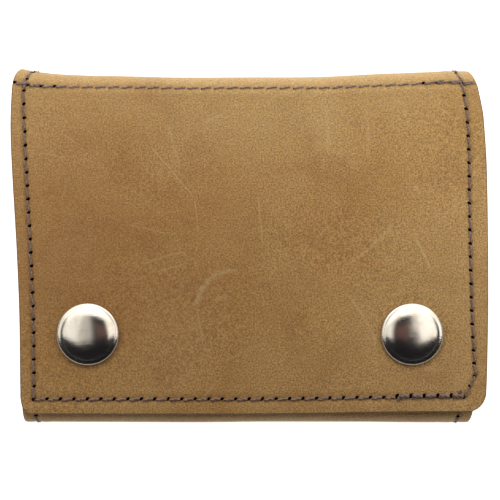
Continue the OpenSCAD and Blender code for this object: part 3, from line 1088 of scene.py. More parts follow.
    def blend(self, piece: bpy.types.Object, joint: "Bend") -> None:
        """Bake the transform of a piece that lies over one of the four bends."""
        first, second, run = joint.value
        y, z, ny, nz = self.path.at((self.ends[run] + self.ends[run + 1]) / 2)
        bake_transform(piece)


class Part(Enum):
    """The three flat panels of the strip, by the body that each rides on."""

    FLAP = "front_flap"
    BACK = "back"
    INNER = "inner_flap"


class Bend(Enum):
    """The four bends in order along the strip: the bodies they join and their run."""

    FLAP_TOP = ("front_flap", "top_fold", 1)
    TOP_BACK = ("top_fold", "back", 3)
    BACK_BOTTOM = ("back", "bottom_fold", 5)
    BOTTOM_INNER = ("bottom_fold", "inner_flap", 7)


@dataclass(frozen=True)
class Scratch:
    """One light scratch on the front flap, as a gently bowed line.

    Args:
        start: X and Y of its first end.
        end: X and Y of its last end.
        width: half its width.
        strength: how light it is, 0 to 1.
        bow: how far its middle stands off the straight line.
    """

    start: tuple[float, float]
    end: tuple[float, float]
    width: float = 0.3
    strength: float = 0.5
    bow: float = 0.0

    def reach(self, x: float, y: float) -> tuple[float, float]:
        """Signed distance from the line in half-widths, and how strongly it shows."""
        (x0, y0), (x1, y1) = self.start, self.end
        length = math.hypot(x1 - x0, y1 - y0)
        ux, uy = (x1 - x0) / length, (y1 - y0) / length
        along = (x - x0) * ux + (y - y0) * uy
        if not -1.0 < along < length + 1.0:
            return 0.0, 0.0
        side = (y - y0) * ux - (x - x0) * uy
        t = min(max(along / length, 0.0), 1.0)
        side -= self.bow * 4.0 * t * (1.0 - t)
        near = 1.0 - smooth(self.width * 1.5, self.width * 1.5 + 1.6, abs(side))
        ends = smooth(-0.8, 1.2, along) * smooth(-0.8, 1.2, length - along)
        return side / self.width, self.strength * near * ends


SCRATCHES = (
    Scratch((-23.5, 24.1), (-13.2, 11.9), 0.25, 0.6),
    Scratch((-13.2, 11.9), (-12.4, 3.2), 0.25, 0.5),
    Scratch((-19.6, 29.9), (-16.8, 19.1), 0.5, 0.4), Scratch((2.0, 12.0), (3.0, 1.3), 0.3, 0.55),
    Scratch((18.4, 33.8), (18.8, 22.7), 0.75, 0.32),
    Scratch((27.9, 33.1), (28.3, 21.9), 0.6, 0.26, 0.3),
    Scratch((23.2, -4.1), (33.9, 5.5), 0.5, 0.4, -0.6),
    Scratch((39.5, 2.3), (43.3, -5.7), 0.4, 0.55, 0.4),
    Scratch((-13.1, -14.0), (-3.2, -5.3), 0.9, 0.6, 2.6),
    Scratch((-12.6, -14.5), (-11.2, -23.6), 0.3, 0.45),
    Scratch((-25.6, -3.9), (-15.6, -0.9), 0.35, 0.5, 0.3),
    Scratch((-21.6, -5.7), (-14.8, -3.7), 0.35, 0.5, 0.2),
    Scratch((-25.4, -4.0), (-22.0, -5.8), 0.6, 0.4),
    Scratch((23.2, -10.8), (30.3, -22.8), 0.45, 0.4, 0.5),
    Scratch((-28.7, 5.5), (-20.0, 3.5), 0.3, 0.35),
    Scratch((-49.5, 22.7), (-44.3, 21.7), 0.35, 0.4),
    Scratch((-45.5, 10.8), (-43.1, 17.1), 0.4, 0.3),
    Scratch((-8.2, -12.6), (-5.6, -11.0), 0.7, 0.45),
    Scratch((45.5, 6.7), (49.5, 10.7), 0.35, 0.35), Scratch((-10.4, 30.7), (-6.4, 33.1), 0.5, 0.35),
    Scratch((44.8, 34.2), (47.6, 31.8), 0.35, 0.5), Scratch((39.2, 15.4), (40.8, 12.6), 0.8, 0.4),
    Scratch((-6.4, -27.2), (3.2, -22.8), 0.4, 0.25),
    Scratch((-11.4, -36.0), (-8.4, -32.6), 0.5, 0.35),
    Scratch((-44.8, 27.6), (-41.4, 24.8), 0.3, 0.35),
    Scratch((-36.2, 17.0), (-34.8, 17.6), 0.5, 0.3),
)


@dataclass
class Leatherwork:
    """The outer leather and its lining, each in lengths that meet midway between two bends."""

    strip: WalletStrip
    wardrobe: Wardrobe
    flap_corner: float = 4.6
    inner_corner: float = 4.0
    lining_in: float = 0.2

    def scratched(self, x: float, place: float) -> tuple[float, float]:
        """The nearest drawn scratch: its signed distance and its strength."""
        y = self.strip.flap_edge + place
        if place > self.strip.ends[1]:
            return 0.0, 0.0
        return max((scratch.reach(x, y) for scratch in SCRATCHES), key=lambda found: found[1])

    def _spans(self) -> list[tuple[Bend, float, float, tuple[str, ...]]]:
        """Bend, start, end and frame parts of each length of leather."""
        s = self.strip
        return [(Bend.FLAP_TOP, 0.0, s.mid_top, ("flap",)),
                (Bend.TOP_BACK, s.mid_top, s.mid_back, ("top_fold", "back")),
                (Bend.BACK_BOTTOM, s.mid_back, s.mid_bottom, ("bottom_fold",)),
                (Bend.BOTTOM_INNER, s.mid_bottom, s.length, ("inner",))]

    def bent(self, x: float, place: float) -> float:
        """How much paler the leather is, 0 to about 1: pull-up paling over the folds, raised on the
        bottom fold as painted light, and painted light on the flap just under the top seam.
        """
        e = self.strip.ends
        top = smooth(e[1] - 1.0, e[1] + 4.0, place) * (1.0 - smooth(e[4] - 4.0, e[4], place))
        low = smooth(e[5], e[5] + 3.0, place) * (1.0 - smooth(e[8] - 3.0, e[8], place))
        # Painted light on the front flap just under the top seam.
        under = smooth(e[1] - 14.0, e[1] - 1.0, place) * (1.0 - smooth(e[1], e[1] + 3.0, place))
        # The bottom fold is paled more, as painted light on its shaded side.
        return top + 1.2 * low + 0.35 * under

    def seam_dark_and_shade(self, x: float, place: float) -> float:
        """How much darker the leather is, 0 to 1: along the seams where they pull it in, and painted
        shade towards the left and the bottom of the front flap.
        """
        seams = min(max(self.strip.press(x, place) * 2.2, 0.0), 0.7)
        if place > self.strip.ends[2]:
            return seams
        y = self.strip.flap_edge + place
        # Painted shade towards the left, the lower middle and the bottom of the front flap.
        painted_shade = 0.55 * bell(math.hypot((x + 50.0) / 1.2, y - 2.0), 34.0)
        painted_shade += 0.22 * bell(math.hypot(x + 6.0, y + 10.0), 30.0) + 0.12 * smooth(30.0, -20.0, y)
        return min(seams + painted_shade, 1.0)

    def build(self) -> None:
        """Build every length of outer leather and lining."""
        s, narrow = self.strip, self.lining_in
        for bend, start, end, parts in self._spans():
            first, last = bend is Bend.FLAP_TOP, bend is Bend.BOTTOM_INNER
            name = "_".join(parts)
            # The bend mark carries pull-up paling at the folds and painted light; the other carries
            # darker seams and painted shade on the front flap.
            marks = {"bend": self.bent, "rub": self.seam_dark_and_shade}
            if first:
                marks["line"] = lambda x, p: self.scratched(x, p)[0]
                marks["scratch"] = lambda x, p: self.scratched(x, p)[1]
            outer = Sheet(f"{name}_leather", s.layer(0.0, s.leather, outside=1.0),
                          s.left.at, s.right.at, start, end, s.leather,
                          step=0.56 if first else 0.8,
                          start_corner=self.flap_corner if first else None,
                          end_corner=self.inner_corner if last else None,
                          margin_step=0.4 if first else 0.6,
                          marks=marks)
            self._cover(outer, Finish.TAN, bend, [f"{part}_shell" for part in parts])
            lining = Sheet(f"{name}_lining_leather", s.layer(s.leather, s.skin, inside=1.0),
                           lambda p: s.left.at(p) + narrow, lambda p: s.right.at(p) - narrow,
                           start + (narrow if first else 0.0), end - (narrow if last else 0.0),
                           s.lining, step=1.0,
                           start_corner=self.flap_corner - 0.1 if first else None,
                           end_corner=self.inner_corner - 0.1 if last else None,
                           round_r=0.2, margin_step=0.7)
            self._cover(lining, Finish.LINING, bend, [f"{part}_lining" for part in parts])
            LOG.info("leather and lining of %s", name)

    def _cover(self, sheet: Sheet, finish: Finish, bend: Bend, nodes: Sequence[str]) -> None:
        """Mesh and dress a length of leather, bake its transform and set it in the place of its
        nodes.
        """
        piece = self.wardrobe.dress(sheet.build(), finish)
        self.strip.blend(piece, bend)
        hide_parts(*nodes)


@dataclass
class FlatLayer:
    """A flat piece of leather or tape laid on one of the three panels.

    Args:
        name: name of the piece.
        part: panel that it lies on.
        low_y: its lowest Y.
        high_y: its highest Y.
        outer: depth of the face that looks into the wallet.
        inner: depth of the face that lies on the panel.
        corner: radius of the corners of its free edge.
        inset: how far its sides lie in from the leather's.
        creases: Y of each pressed line.
        free_low: whether its lowest edge is free too.
        step: spacing of its points.
        press: how strongly the seams press into it, 0 to 1.
    """

    name: str
    part: Part
    low_y: float
    high_y: float
    outer: float
    inner: float
    corner: float = 0.3
    inset: float = 0.1
    creases: tuple[float, ...] = ()
    free_low: bool = False
    step: float = 0.9
    press: float = 0.0

    def build(self, strip: WalletStrip) -> bpy.types.Object:
        """Mesh the layer on the strip's surface."""
        thickness = abs(self.outer - self.inner)
        rounding = min(0.25, thickness * 0.42)

        def side(y: float) -> float:
            """Place along the strip of a Y of the layer."""
            return strip.place_of(y, self.part)

        def surface(x: float, y: float, share: float) -> tuple[float, float, float]:
            """A point of the layer."""
            place = side(y)
            depth = self.outer + (self.inner - self.outer) * share
            dent = sum(0.14 * bell(y - crease, 0.35) for crease in self.creases)
            dent += self.press * strip.press(x, place)
            depth -= dent * (1.0 - share)
            return strip.point(x, place, depth)

        return Sheet(self.name, surface, lambda y: strip.left.at(side(y)) + self.inset,
                     lambda y: strip.right.at(side(y)) - self.inset, self.low_y, self.high_y,
                     thickness, step=self.step, start_corner=0.3 if self.free_low else None,
                     end_corner=self.corner, round_r=rounding, margin_step=0.6).build()


@dataclass
class Pockets:
    """Three card pockets on the back panel and a slip pocket inside the front flap."""

    strip: WalletStrip
    wardrobe: Wardrobe
    crease: float = 1.8
    fold_gap: float = 0.8

    def build(self) -> None:
        """Build the pockets."""
        for i in (1, 2, 3):
            node = f"card_pocket_{i}"
            box = Box.of(node)
            layer = FlatLayer(f"{node}_leather", Part.BACK, box.low.y + self.fold_gap, box.high.y,
                              box.high.z, box.low.z, creases=(box.high.y - self.crease,),
                              press=1.0)
            self.wardrobe.fit(layer.build(self.strip), Finish.POCKET, Part.BACK.value, node)
            LOG.info("card pocket %d", i)
        box, skin = Box.of("slip_pocket"), self.strip.skin
        layer = FlatLayer("slip_pocket_leather", Part.FLAP, box.low.y, box.high.y,
                          skin + box.size.z, skin, creases=(box.high.y - self.crease,),
                          free_low=True, press=1.0)
        self.wardrobe.fit(layer.build(self.strip), Finish.POCKET, Part.FLAP.value, "slip_pocket")
        LOG.info("slip pocket")


# ---------------------------------------------------------------- seams


@dataclass
class Seams:
    """Every row of stitches, set on the leather by Geometry Nodes."""

    strip: WalletStrip
    wardrobe: Wardrobe
    repeat: Repeat
    pitch: float = 3.2
    face_lift: float = -0.02
    sunk: float = 0.2
    hidden_drop: float = 0.16
    hidden_x: tuple[float, float] = (-46.0, 40.0)
    hole_shadow_size: tuple[float, float, float] = (1.2, 0.72, 0.4)

    def __post_init__(self) -> None:
        """Make the stitches and the one needle hole lens, a painted shadow, that are repeated."""
        self.stitch = self._stitch("stitch", self.pitch, 0.26)
        self.short = self._stitch("short_stitch", self.strip.short_pitch, 0.24)
        self.thick = self._stitch("thick_stitch", self.pitch, 0.42)
        self.stub = self._stitch("thread_end", 1.5, 0.36)
        self.hole = self._hole_shadow()

    @staticmethod
    def _stitch(name: str, pitch: float, radius: float) -> bpy.types.Object:
        """A stitch of two twisted plies that dives into the leather at both ends."""
        steps, sides, twist, gap = 14, 5, 2.2, 0.35
        flat, dive, ply_r, ply_off = 0.72, 0.62, 0.66 * radius, 0.42 * radius
        shape = bmesh.new()
        for ply in (0.0, math.pi):
            rings = []
            for i in range(steps + 1):
                t = i / steps
                sink = max(abs(t - 0.5) * 2 - flat, 0.0) / (1.0 - flat)
                turn = ply + twist * math.pi * t
                y = ply_off * math.cos(turn)
                z = dive * (radius - sink * sink) + ply_off * math.sin(turn)
                rings.append([((t - 0.5) * (pitch - gap), y + a, z + b)
                              for a, b in circle(ply_r, sides)])
            tube(shape, rings)
        return template(mesh_object(name, shape))

    def _hole_shadow(self) -> bpy.types.Object:
        """A small dark lens that fills a needle hole: the painted shadow inside it."""
        shape = bmesh.new()
        bmesh.ops.create_uvsphere(shape, u_segments=8, v_segments=4, radius=0.5)
        bmesh.ops.scale(shape, vec=self.hole_shadow_size, verts=shape.verts)
        return template(mesh_object("needle_hole", shape))

    def _spot(self, here: tuple[float, float], there: tuple[float, float], depth: float,
              lift: float, outward: bool) -> Spot:
        """Place of a stitch between two holes on a face of the strip."""
        s = self.strip
        x, place = (here[0] + there[0]) / 2, (here[1] + there[1]) / 2
        along = Vector(s.point(*there, depth)) - Vector(s.point(*here, depth))
        up = Vector(s.normal(place)) * (1.0 if outward else -1.0)
        middle = Vector(s.point(x, place, depth)) + up * lift
        return Spot(tuple(middle), tuple(along.normalized()), tuple(up))

    def _rows(self, seams: Sequence[Seam], high: float, low: float = 0.0,
              lift: float | None = None, hole_rise: float = 0.0) -> tuple[list[Spot], list[Spot]]:
        """Spots of the stitches and holes of several seams between two places.

        Past the first bend the stitches are sunk into the leather. Along the middle of the top
        seam they are half hidden in the fold.

        Args:
            seams: rows of stitches on the outer face.
            high: last place taken.
            low: first place taken.
            lift: height of the stitches over the face on the front flap.
            hole_rise: how far the needle holes are raised.

        Returns:
            The spots of the stitches and those of the holes.
        """
        lift = self.face_lift if lift is None else lift
        stitches, hole_shadows = [], []
        bent = self.strip.ends[1] + 3.0
        for seam in seams:
            for i in range(seam.count):
                here, there = seam.hole(i), seam.hole(i + 1)
                middle = (here[1] + there[1]) / 2
                if not low <= middle < high:
                    continue
                at_fold = seam.across and here[1] > bent - 9.0
                hidden = at_fold and self.hidden_x[0] < here[0] < self.hidden_x[1]
                drop = self.hidden_drop if hidden else 0.0
                over = lift if middle < bent else -self.sunk
                stitch = self._spot(here, there, 0.0, over - drop, True)
                stitches.append(stitch)
                up, along = Vector(stitch.up), Vector(stitch.along)
                side = up.cross(along).normalized()
                sunk = self.strip.press(*here) * 0.6 if middle < bent else self.sunk + 0.02
                spot = Vector(self.strip.point(*here, 0.0)) + side * (0.2 * seam.hole_side)
                spot += up * (hole_rise - sunk - 2.0 * drop)
                slant = along * math.cos(seam.hole_turn) + side * math.sin(seam.hole_turn)
                hole_shadows.append(Spot(tuple(spot), tuple(slant), stitch.up))
        return stitches, hole_shadows

    def _lay(self, name: str, stitches: list[Spot], hole_shadows: list[Spot], body: str | Bend,
             node: str | None, stitch: bpy.types.Object | None = None, turn: float = 0.16,
             seed: int = 1) -> None:
        """Set stitches and holes, and tie them to their body; over a bend, only bake their transform.
        """
        made = [self.repeat.run(name, stitches, stitch or self.stitch,
                                self.wardrobe.material(Finish.THREAD), turn, 0.12, seed)]
        Finish.THREAD.slot
        # The needle holes get dark lenses: painted shadow.
        if hole_shadows:
            made.append(self.repeat.run(f"{name}_holes", hole_shadows, self.hole,
                                        self.wardrobe.material(Finish.HOLE), 0.0, 0.6, seed + 50))
            Finish.HOLE.slot
        for piece in made:
            if isinstance(body, Bend):
                self.strip.blend(piece, body)
            else:
                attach(piece, body)
        if node:
            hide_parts(node)
        LOG.info("%s: %d stitches", name, len(stitches))

    def build(self) -> None:
        """Lay every seam of the outer leather, then those of the pockets."""
        s = self.strip
        seams = list(s.seams.values())
        spans = ((Bend.FLAP_TOP, 0.0, s.mid_top, "flap_thread"),
                 (Bend.TOP_BACK, s.mid_top, s.mid_back, "top_fold_thread"),
                 (Bend.BACK_BOTTOM, s.mid_back, s.mid_bottom, "bottom_fold_thread"),
                 (Bend.BOTTOM_INNER, s.mid_bottom, s.length, None))
        for seed, (bend, low, high, node) in enumerate(spans, start=1):
            stitches, hole_shadows = self._rows(seams, high, low)
            self._lay(f"seam_{bend.name.lower()}", stitches, hole_shadows, bend, node, seed=seed)
        self._tacks()
        self._back_inside()
        self._flap_inside()
        self._coin_inside()

    def _tacks(self) -> None:
        """The doubled ends of the top seam and the bar-tack of the bottom seam."""
        s = self.strip
        top, bottom = s.seams["top"], s.seams["bottom"]
        doubled = [Seam(True, lambda x: top.line(x) + 0.3, start, end)
                   for start, end in ((top.start + 0.3, -49.0), (43.5, top.end))]
        stitches, _ = self._rows(doubled, s.mid_top)
        self._lay("top_seam_tacks", stitches, [], Bend.FLAP_TOP, None, turn=0.12, seed=11)
        start, end = bottom.hole(bottom.count - 5)[0], bottom.end
        tack = Seam(True, lambda x: bottom.line(x) + 0.38, start, end)
        stitches, hole_shadows = self._rows([tack], s.mid_top, lift=0.05, hole_rise=0.3)
        self._lay("bar_tack", stitches, hole_shadows, Part.FLAP.value, None, self.thick, 0.0, 12)
        stubs = [self._spot(here, there, 0.0, 0.1, True)
                 for here, there in (((start + 0.35, 3.75), (start + 0.15, 2.85)),
                                     ((end - 1.6, 4.7), (end - 0.6, 5.35)))]
        self._lay("thread_ends", stubs, [], Part.FLAP.value, None, self.stub, 0.0, 13)

    def _inner_spots(self, names: Iterable[str], lift: float,
                     depth: Callable[[float, float], float | None]) -> list[Spot]:
        """Spots of stitches on the face that looks into the wallet.

        Args:
            names: seams that the stitches belong to.
            lift: height of the stitches over the face.
            depth: depth of the face at the places of both holes, or None where no stitch shows.

        Returns:
            The spots.
        """
        spots = []
        for seam in (self.strip.seams[name] for name in names):
            for i in range(seam.count):
                here, there = seam.hole(i), seam.hole(i + 1)
                face = depth(here[1], there[1])
                if face is not None:
                    spots.append(self._spot(here, there, face, lift, False))
        return spots

    def _back_inside(self) -> None:
        """The side seams on the card pockets and on the lining above them."""
        s = self.strip
        pockets = [Box.of(f"card_pocket_{i}").high for i in (3, 2, 1)]

        def depth(first: float, second: float) -> float | None:
            """Height of the pocket that a stitch lies on, or depth of the lining."""
            if not s.ends[4] + 1.0 < first < s.ends[5] - 1.0:
                return None
            y = s.path.at((first + second) / 2)[0]
            return next((mouth.z for mouth in pockets if y < mouth.y), s.skin)

        spots = self._inner_spots(("left", "right"), self.face_lift, depth)
        self._lay("back_seam", spots, [], Part.BACK.value, "back_thread", seed=21)

    def _flap_inside(self) -> None:
        """The seams on the inner face of the front flap and on its slip pocket."""
        s, pocket = self.strip, Box.of("slip_pocket")

        def depth(first: float, second: float) -> float | None:
            """Depth of the lining, or of the slip pocket where it lies."""
            if second >= s.ends[1] - 1.0:
                return None
            covered = pocket.low.y - 1.0 < s.flap_edge + first < pocket.high.y - 2.0
            return s.skin + pocket.size.z if covered else s.skin

        spots = self._inner_spots(("left", "right", "bottom", "corner"), self.face_lift, depth)
        self._lay("flap_inside_seam", spots, [], Part.FLAP.value, None, seed=22)

    def _coin_inside(self) -> None:
        """The seams of the coin pocket: round its sides, and above and below its zip."""
        s, panel = self.strip, Box.of("coin_panel")
        face = s.inner_height - panel.low.z
        start = s.place_of(panel.low.y + 2.0, Part.INNER)
        spots = self._inner_spots(("left", "right", "inner"), -self.sunk,
                                  lambda a, b: face if (a + b) / 2 > start else None)
        for offset in (-5.3, 5.3):
            place = s.place_of(Box.of("slider_body").middle.y + offset, Part.INNER)
            row = Seam(True, lambda x, p=place: p, -46.5, 46.5, s.short_pitch)
            spots += [self._spot(row.hole(i), row.hole(i + 1), face, -self.sunk, False)
                      for i in range(row.count)]
        self._lay("coin_pocket_seams", spots, [], Part.INNER.value, "inner_thread", self.short,
                  seed=23)


# ---------------------------------------------------------------- coin pocket and zip


def box_mesh(shape: bmesh.types.BMesh, low: tuple[float, float, float],
             high: tuple[float, float, float]) -> list[bmesh.types.BMVert]:
    """Add a box to a bmesh and return its corners."""
    made = bmesh.ops.create_cube(shape, size=1.0)["verts"]
    for vert in made:
        for axis in range(3):
            vert.co[axis] = (low[axis] + high[axis]) / 2 + vert.co[axis] * (high[axis] - low[axis])
    return made


def plate_mesh(shape: bmesh.types.BMesh, outline: Sequence[tuple[float, float]], low: float,
               high: float) -> None:
    """Add a flat plate with an outline in X and Y to a bmesh."""
    bottom = [shape.verts.new((x, y, low)) for x, y in outline]
    top = [shape.verts.new((x, y, high)) for x, y in outline]
    shape.faces.new(bottom)
    shape.faces.new(list(reversed(top)))
    for i in range(len(outline)):
        j = (i + 1) % len(outline)
        shape.faces.new((bottom[i], bottom[j], top[j], top[i]))


@dataclass
class CoinPocket:
    """The zipped coin pocket on the inside of the inner flap."""

    strip: WalletStrip
    wardrobe: Wardrobe
    repeat: Repeat
    tooth_pitch: float = 1.5
    window: float = 4.0
    window_past: float = 3.5
    fold_gap: float = 0.6
    plate: float = 0.5
    bridge_rise: float = 1.5

    def __post_init__(self) -> None:
        """Read the zip's place from the frame."""
        slider, teeth = Box.of("slider_body").middle, Box.of("zip_teeth_upper")
        self.slider_x, self.zip_y = slider.x, slider.y
        self.chain_low, self.chain_high = teeth.low.x, teeth.high.x
        self.chain_z = teeth.middle.z
        self.teeth_t = teeth.size.z
        self.half_chain = teeth.high.y - self.zip_y

    def build(self) -> None:
        """Build the pocket, its zip and its pull."""
        self._panel()
        self._welt()
        self._tapes()
        self._teeth()
        self._slider()
        self._pull()

    @staticmethod
    def _cut(piece: bpy.types.Object, low: tuple[float, float, float],
             high: tuple[float, float, float], radius: float) -> bpy.types.Object:
        """Cut an opening with rounded corners through a piece."""
        shape = bmesh.new()
        outline = []
        for i, (x, y) in enumerate(((high[0] - radius, high[1] - radius),
                                    (low[0] + radius, high[1] - radius),
                                    (low[0] + radius, low[1] + radius),
                                    (high[0] - radius, low[1] + radius))):
            outline += arc((x, y), radius, 90 * i, 90 * i + 90)
        plate_mesh(shape, outline, low[2], high[2])
        cutter = mesh_object("opening", shape)
        cut = piece.modifiers.new("opening", "BOOLEAN")
        cut.operation = "DIFFERENCE"
        cut.solver = "EXACT"
        cut.object = cutter
        finished(piece)
        bpy.data.objects.remove(cutter)
        return piece

    def _panel(self) -> None:
        """The outer leather of the pocket, with a window for the zip."""
        s, box = self.strip, Box.of("coin_panel")
        edge = self.window + 0.9
        layer = FlatLayer("coin_pocket_leather", Part.INNER, box.low.y + self.fold_gap, box.high.y,
                          s.inner_height - box.low.z, s.inner_height - box.high.z, corner=4.0,
                          creases=(self.zip_y - edge, self.zip_y + edge), press=1.0)
        low = (self.chain_low - self.window_past, self.zip_y - self.window, box.low.z - 3.0)
        high = (self.chain_high + self.window_past, self.zip_y + self.window, box.high.z + 0.6)
        piece = self._cut(layer.build(s), low, high, 1.2)
        self.wardrobe.fit(piece, Finish.POCKET, Part.INNER.value, "coin_panel")
        LOG.info("coin pocket panel")

    def _welt(self) -> None:
        """The strip of leather that closes the sides of the pocket."""
        s, box, tape = self.strip, Box.of("coin_welt"), Box.of("zip_tape_upper")
        layer = FlatLayer("coin_pocket_welt", Part.INNER, box.low.y + self.fold_gap,
                          box.high.y - 0.1, s.inner_height - box.low.z,
                          s.inner_height - box.high.z, corner=3.9, inset=0.15, step=2.0)
        piece = self._cut(layer.build(s), (tape.low.x, box.low.y + 6.0, box.low.z - 3.0),
                          (-tape.low.x, tape.high.y, box.high.z + 3.0), 1.0)
        self.wardrobe.fit(piece, Finish.LINING, Part.INNER.value, "coin_welt")
        LOG.info("coin pocket welt")

    def _tapes(self) -> None:
        """The two halves of the zip tape, each with a bead along its teeth."""
        steps, half_t, bead_r = 90, 0.2, 0.42
        for name, sign in (("upper", 1.0), ("lower", -1.0)):
            box = Box.of(f"zip_tape_{name}")
            half = box.size.x / 2
            near, far = self.zip_y + sign * self.half_chain, box.high.y if sign > 0 else box.low.y
            bead = near - sign * 0.45
            profile = [(near, -0.18), (bead, -bead_r), (bead - sign * 0.35, 0.0), (bead, bead_r),
                       (near, 0.18), (far, half_t), (far, -half_t)]
            shape = bmesh.new()
            tube(shape, [[(-half + 2 * half * i / steps, y, self.chain_z + z) for y, z in profile]
                         for i in range(steps + 1)])
            self.wardrobe.fit(mesh_object(f"zip_tape_{name}_cloth", shape, True), Finish.TAPE,
                              Part.INNER.value, f"zip_tape_{name}")
        LOG.info("zip tapes")

    def _teeth(self) -> None:
        """Two rows of interlocking teeth, and the stops at both ends."""
        w, half = self.tooth_pitch * 0.44, self.teeth_t / 2
        side = [(0.75 * w, 1.75), (0.75 * w, 0.75), (0.42 * w, 0.35), (0.55 * w, -0.35),
                (0.3 * w, -0.62)]
        shape = bmesh.new()
        plate_mesh(shape, [(-x, y) for x, y in side] + side[::-1], -half, half)
        tooth = template(bevelled(mesh_object("tooth", shape, True), 0.1, 1))
        count = int((self.chain_high - self.chain_low) / self.tooth_pitch)
        for name, sign in (("upper", 1.0), ("lower", -1.0)):
            shift = 0.0 if sign > 0 else self.tooth_pitch / 2
            spots = [Spot((self.chain_low + (i + 0.5) * self.tooth_pitch + shift, self.zip_y,
                           self.chain_z), (sign, 0.0, 0.0), (0.0, 0.0, 1.0))
                     for i in range(count if sign > 0 else count - 1)]
            piece = self.repeat.run(f"zip_teeth_{name}_row", spots, tooth,
                                    self.wardrobe.material(Finish.ZIP))
            Finish.ZIP.slot
            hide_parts(f"zip_teeth_{name}")
            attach(piece, Part.INNER.value)
        self.wardrobe.dress(bpy.data.objects["zip_stops"], Finish.ZIP)
        LOG.info("zip teeth: %d a row", count)

    def _slider(self) -> None:
        """The slider: two shaped plates with side lips, and the bridge that holds the pull."""
        box = Box.of("slider_body")
        x, y, half, width = self.slider_x, self.zip_y, box.size.x / 2, box.size.y
        base, top, plate = box.low.z + self.bridge_rise, box.high.z, self.plate
        side = [(-1.0, 0.36), (-0.4, 0.4), (0.3, 0.5), (0.8, 0.5), (1.0, 0.36)]
        outline = [(x + half * a, y - width * b) for a, b in side]
        outline += [(x + half * 0.86, y - 0.3), (x + half * 0.86, y + 0.3)]
        outline += [(x + half * a, y + width * b) for a, b in reversed(side)]
        shape = bmesh.new()
        plate_mesh(shape, outline, base, base + plate)
        plate_mesh(shape, outline, top - plate, top)
        for sign in (-1.0, 1.0):
            for low, high in ((base + 0.1, base + plate + 0.3), (top - plate - 0.3, top - 0.1)):
                lip = sorted((y + sign * (width * 0.5 - 0.42), y + sign * width * 0.5))
                box_mesh(shape, (x + half * 0.2, lip[0], low), (x + half * 0.8, lip[1], high))
        self._bridge(shape, x, y, base, self.bridge_rise)
        piece = bevelled(mesh_object("zip_slider_metal", shape), 0.12)
        self.wardrobe.fit(piece, Finish.ZIP, "zip_slider", "slider_body")
        LOG.info("zip slider")

    @staticmethod
    def _bridge(shape: bmesh.types.BMesh, x: float, y: float, base: float, rise: float) -> None:
        """Add the arched bridge of the slider, rising away from its outer plate."""
        span, half_w, thick, leg, steps = 4.8, 0.8, 0.52, 0.75, 10
        rings = []
        for i in range(steps + 1):
            t = i / steps - 0.5
            arch = 1.0 - abs(2 * t) ** 6
            out_x = math.copysign(min(abs(t) * span * 1.25, span / 2), t)
            in_x = math.copysign(min(abs(t) * (span - 2 * leg) * 1.25, span / 2 - leg), t)
            out_z, in_z = base - rise * arch, base - (rise - thick) * arch + 0.05
            rings.append([(x + out_x, y - half_w, out_z), (x + out_x, y + half_w, out_z),
                          (x + in_x, y + half_w, in_z), (x + in_x, y - half_w, in_z)])
        tube(shape, rings)

    def _pull(self) -> None:
        """The metal eye round the bridge's leg and the leather tab clamped in it."""
        box, y = Box.of("pull_eye"), self.zip_y
        half, middle = box.size.z / 2, box.middle.z
        eye_r, hole_r = 2.4, 1.4
        pivot, clamp_end = box.high.x - eye_r, box.low.x
        wire = (eye_r - hole_r) / 2
        ring = [(hole_r + wire + wire * a, half * b) for a, b in circle(1.0, 12)]
        eye = lathe("pull_ring", ring, (pivot, y, middle), 40, closed=True)
        side = [(pivot - eye_r + 0.35, 1.1), (pivot - eye_r - 0.7, 1.3),
                (pivot - eye_r - 1.2, 2.0), (clamp_end, 2.0)]
        shape = bmesh.new()
        plate_mesh(shape, [(x, y - w) for x, w in side] + [(x, y + w) for x, w in reversed(side)],
                   middle - half, middle + half)
        clamp = bevelled(mesh_object("pull_clamp", shape), 0.14)
        self.wardrobe.fit(eye, Finish.ZIP, "zip_pull", "pull_eye")
        self.wardrobe.fit(clamp, Finish.ZIP, "zip_pull")
        tab = Sheet("pull_leather",
                    lambda across, place, share: (clamp_end - place, y + across,
                                                  middle + half - share * 2 * half),
                    lambda p: -2.5, lambda p: 2.5, -1.6, clamp_end - Box.of("pull_tab").low.x,
                    2 * half, step=0.5, end_corner=2.4, round_r=0.25, margin=1.6,
                    margin_step=0.4)
        self.wardrobe.fit(tab.build(), Finish.TAN, "zip_pull", "pull_tab")
        LOG.info("zip pull")


# ---------------------------------------------------------------- snaps


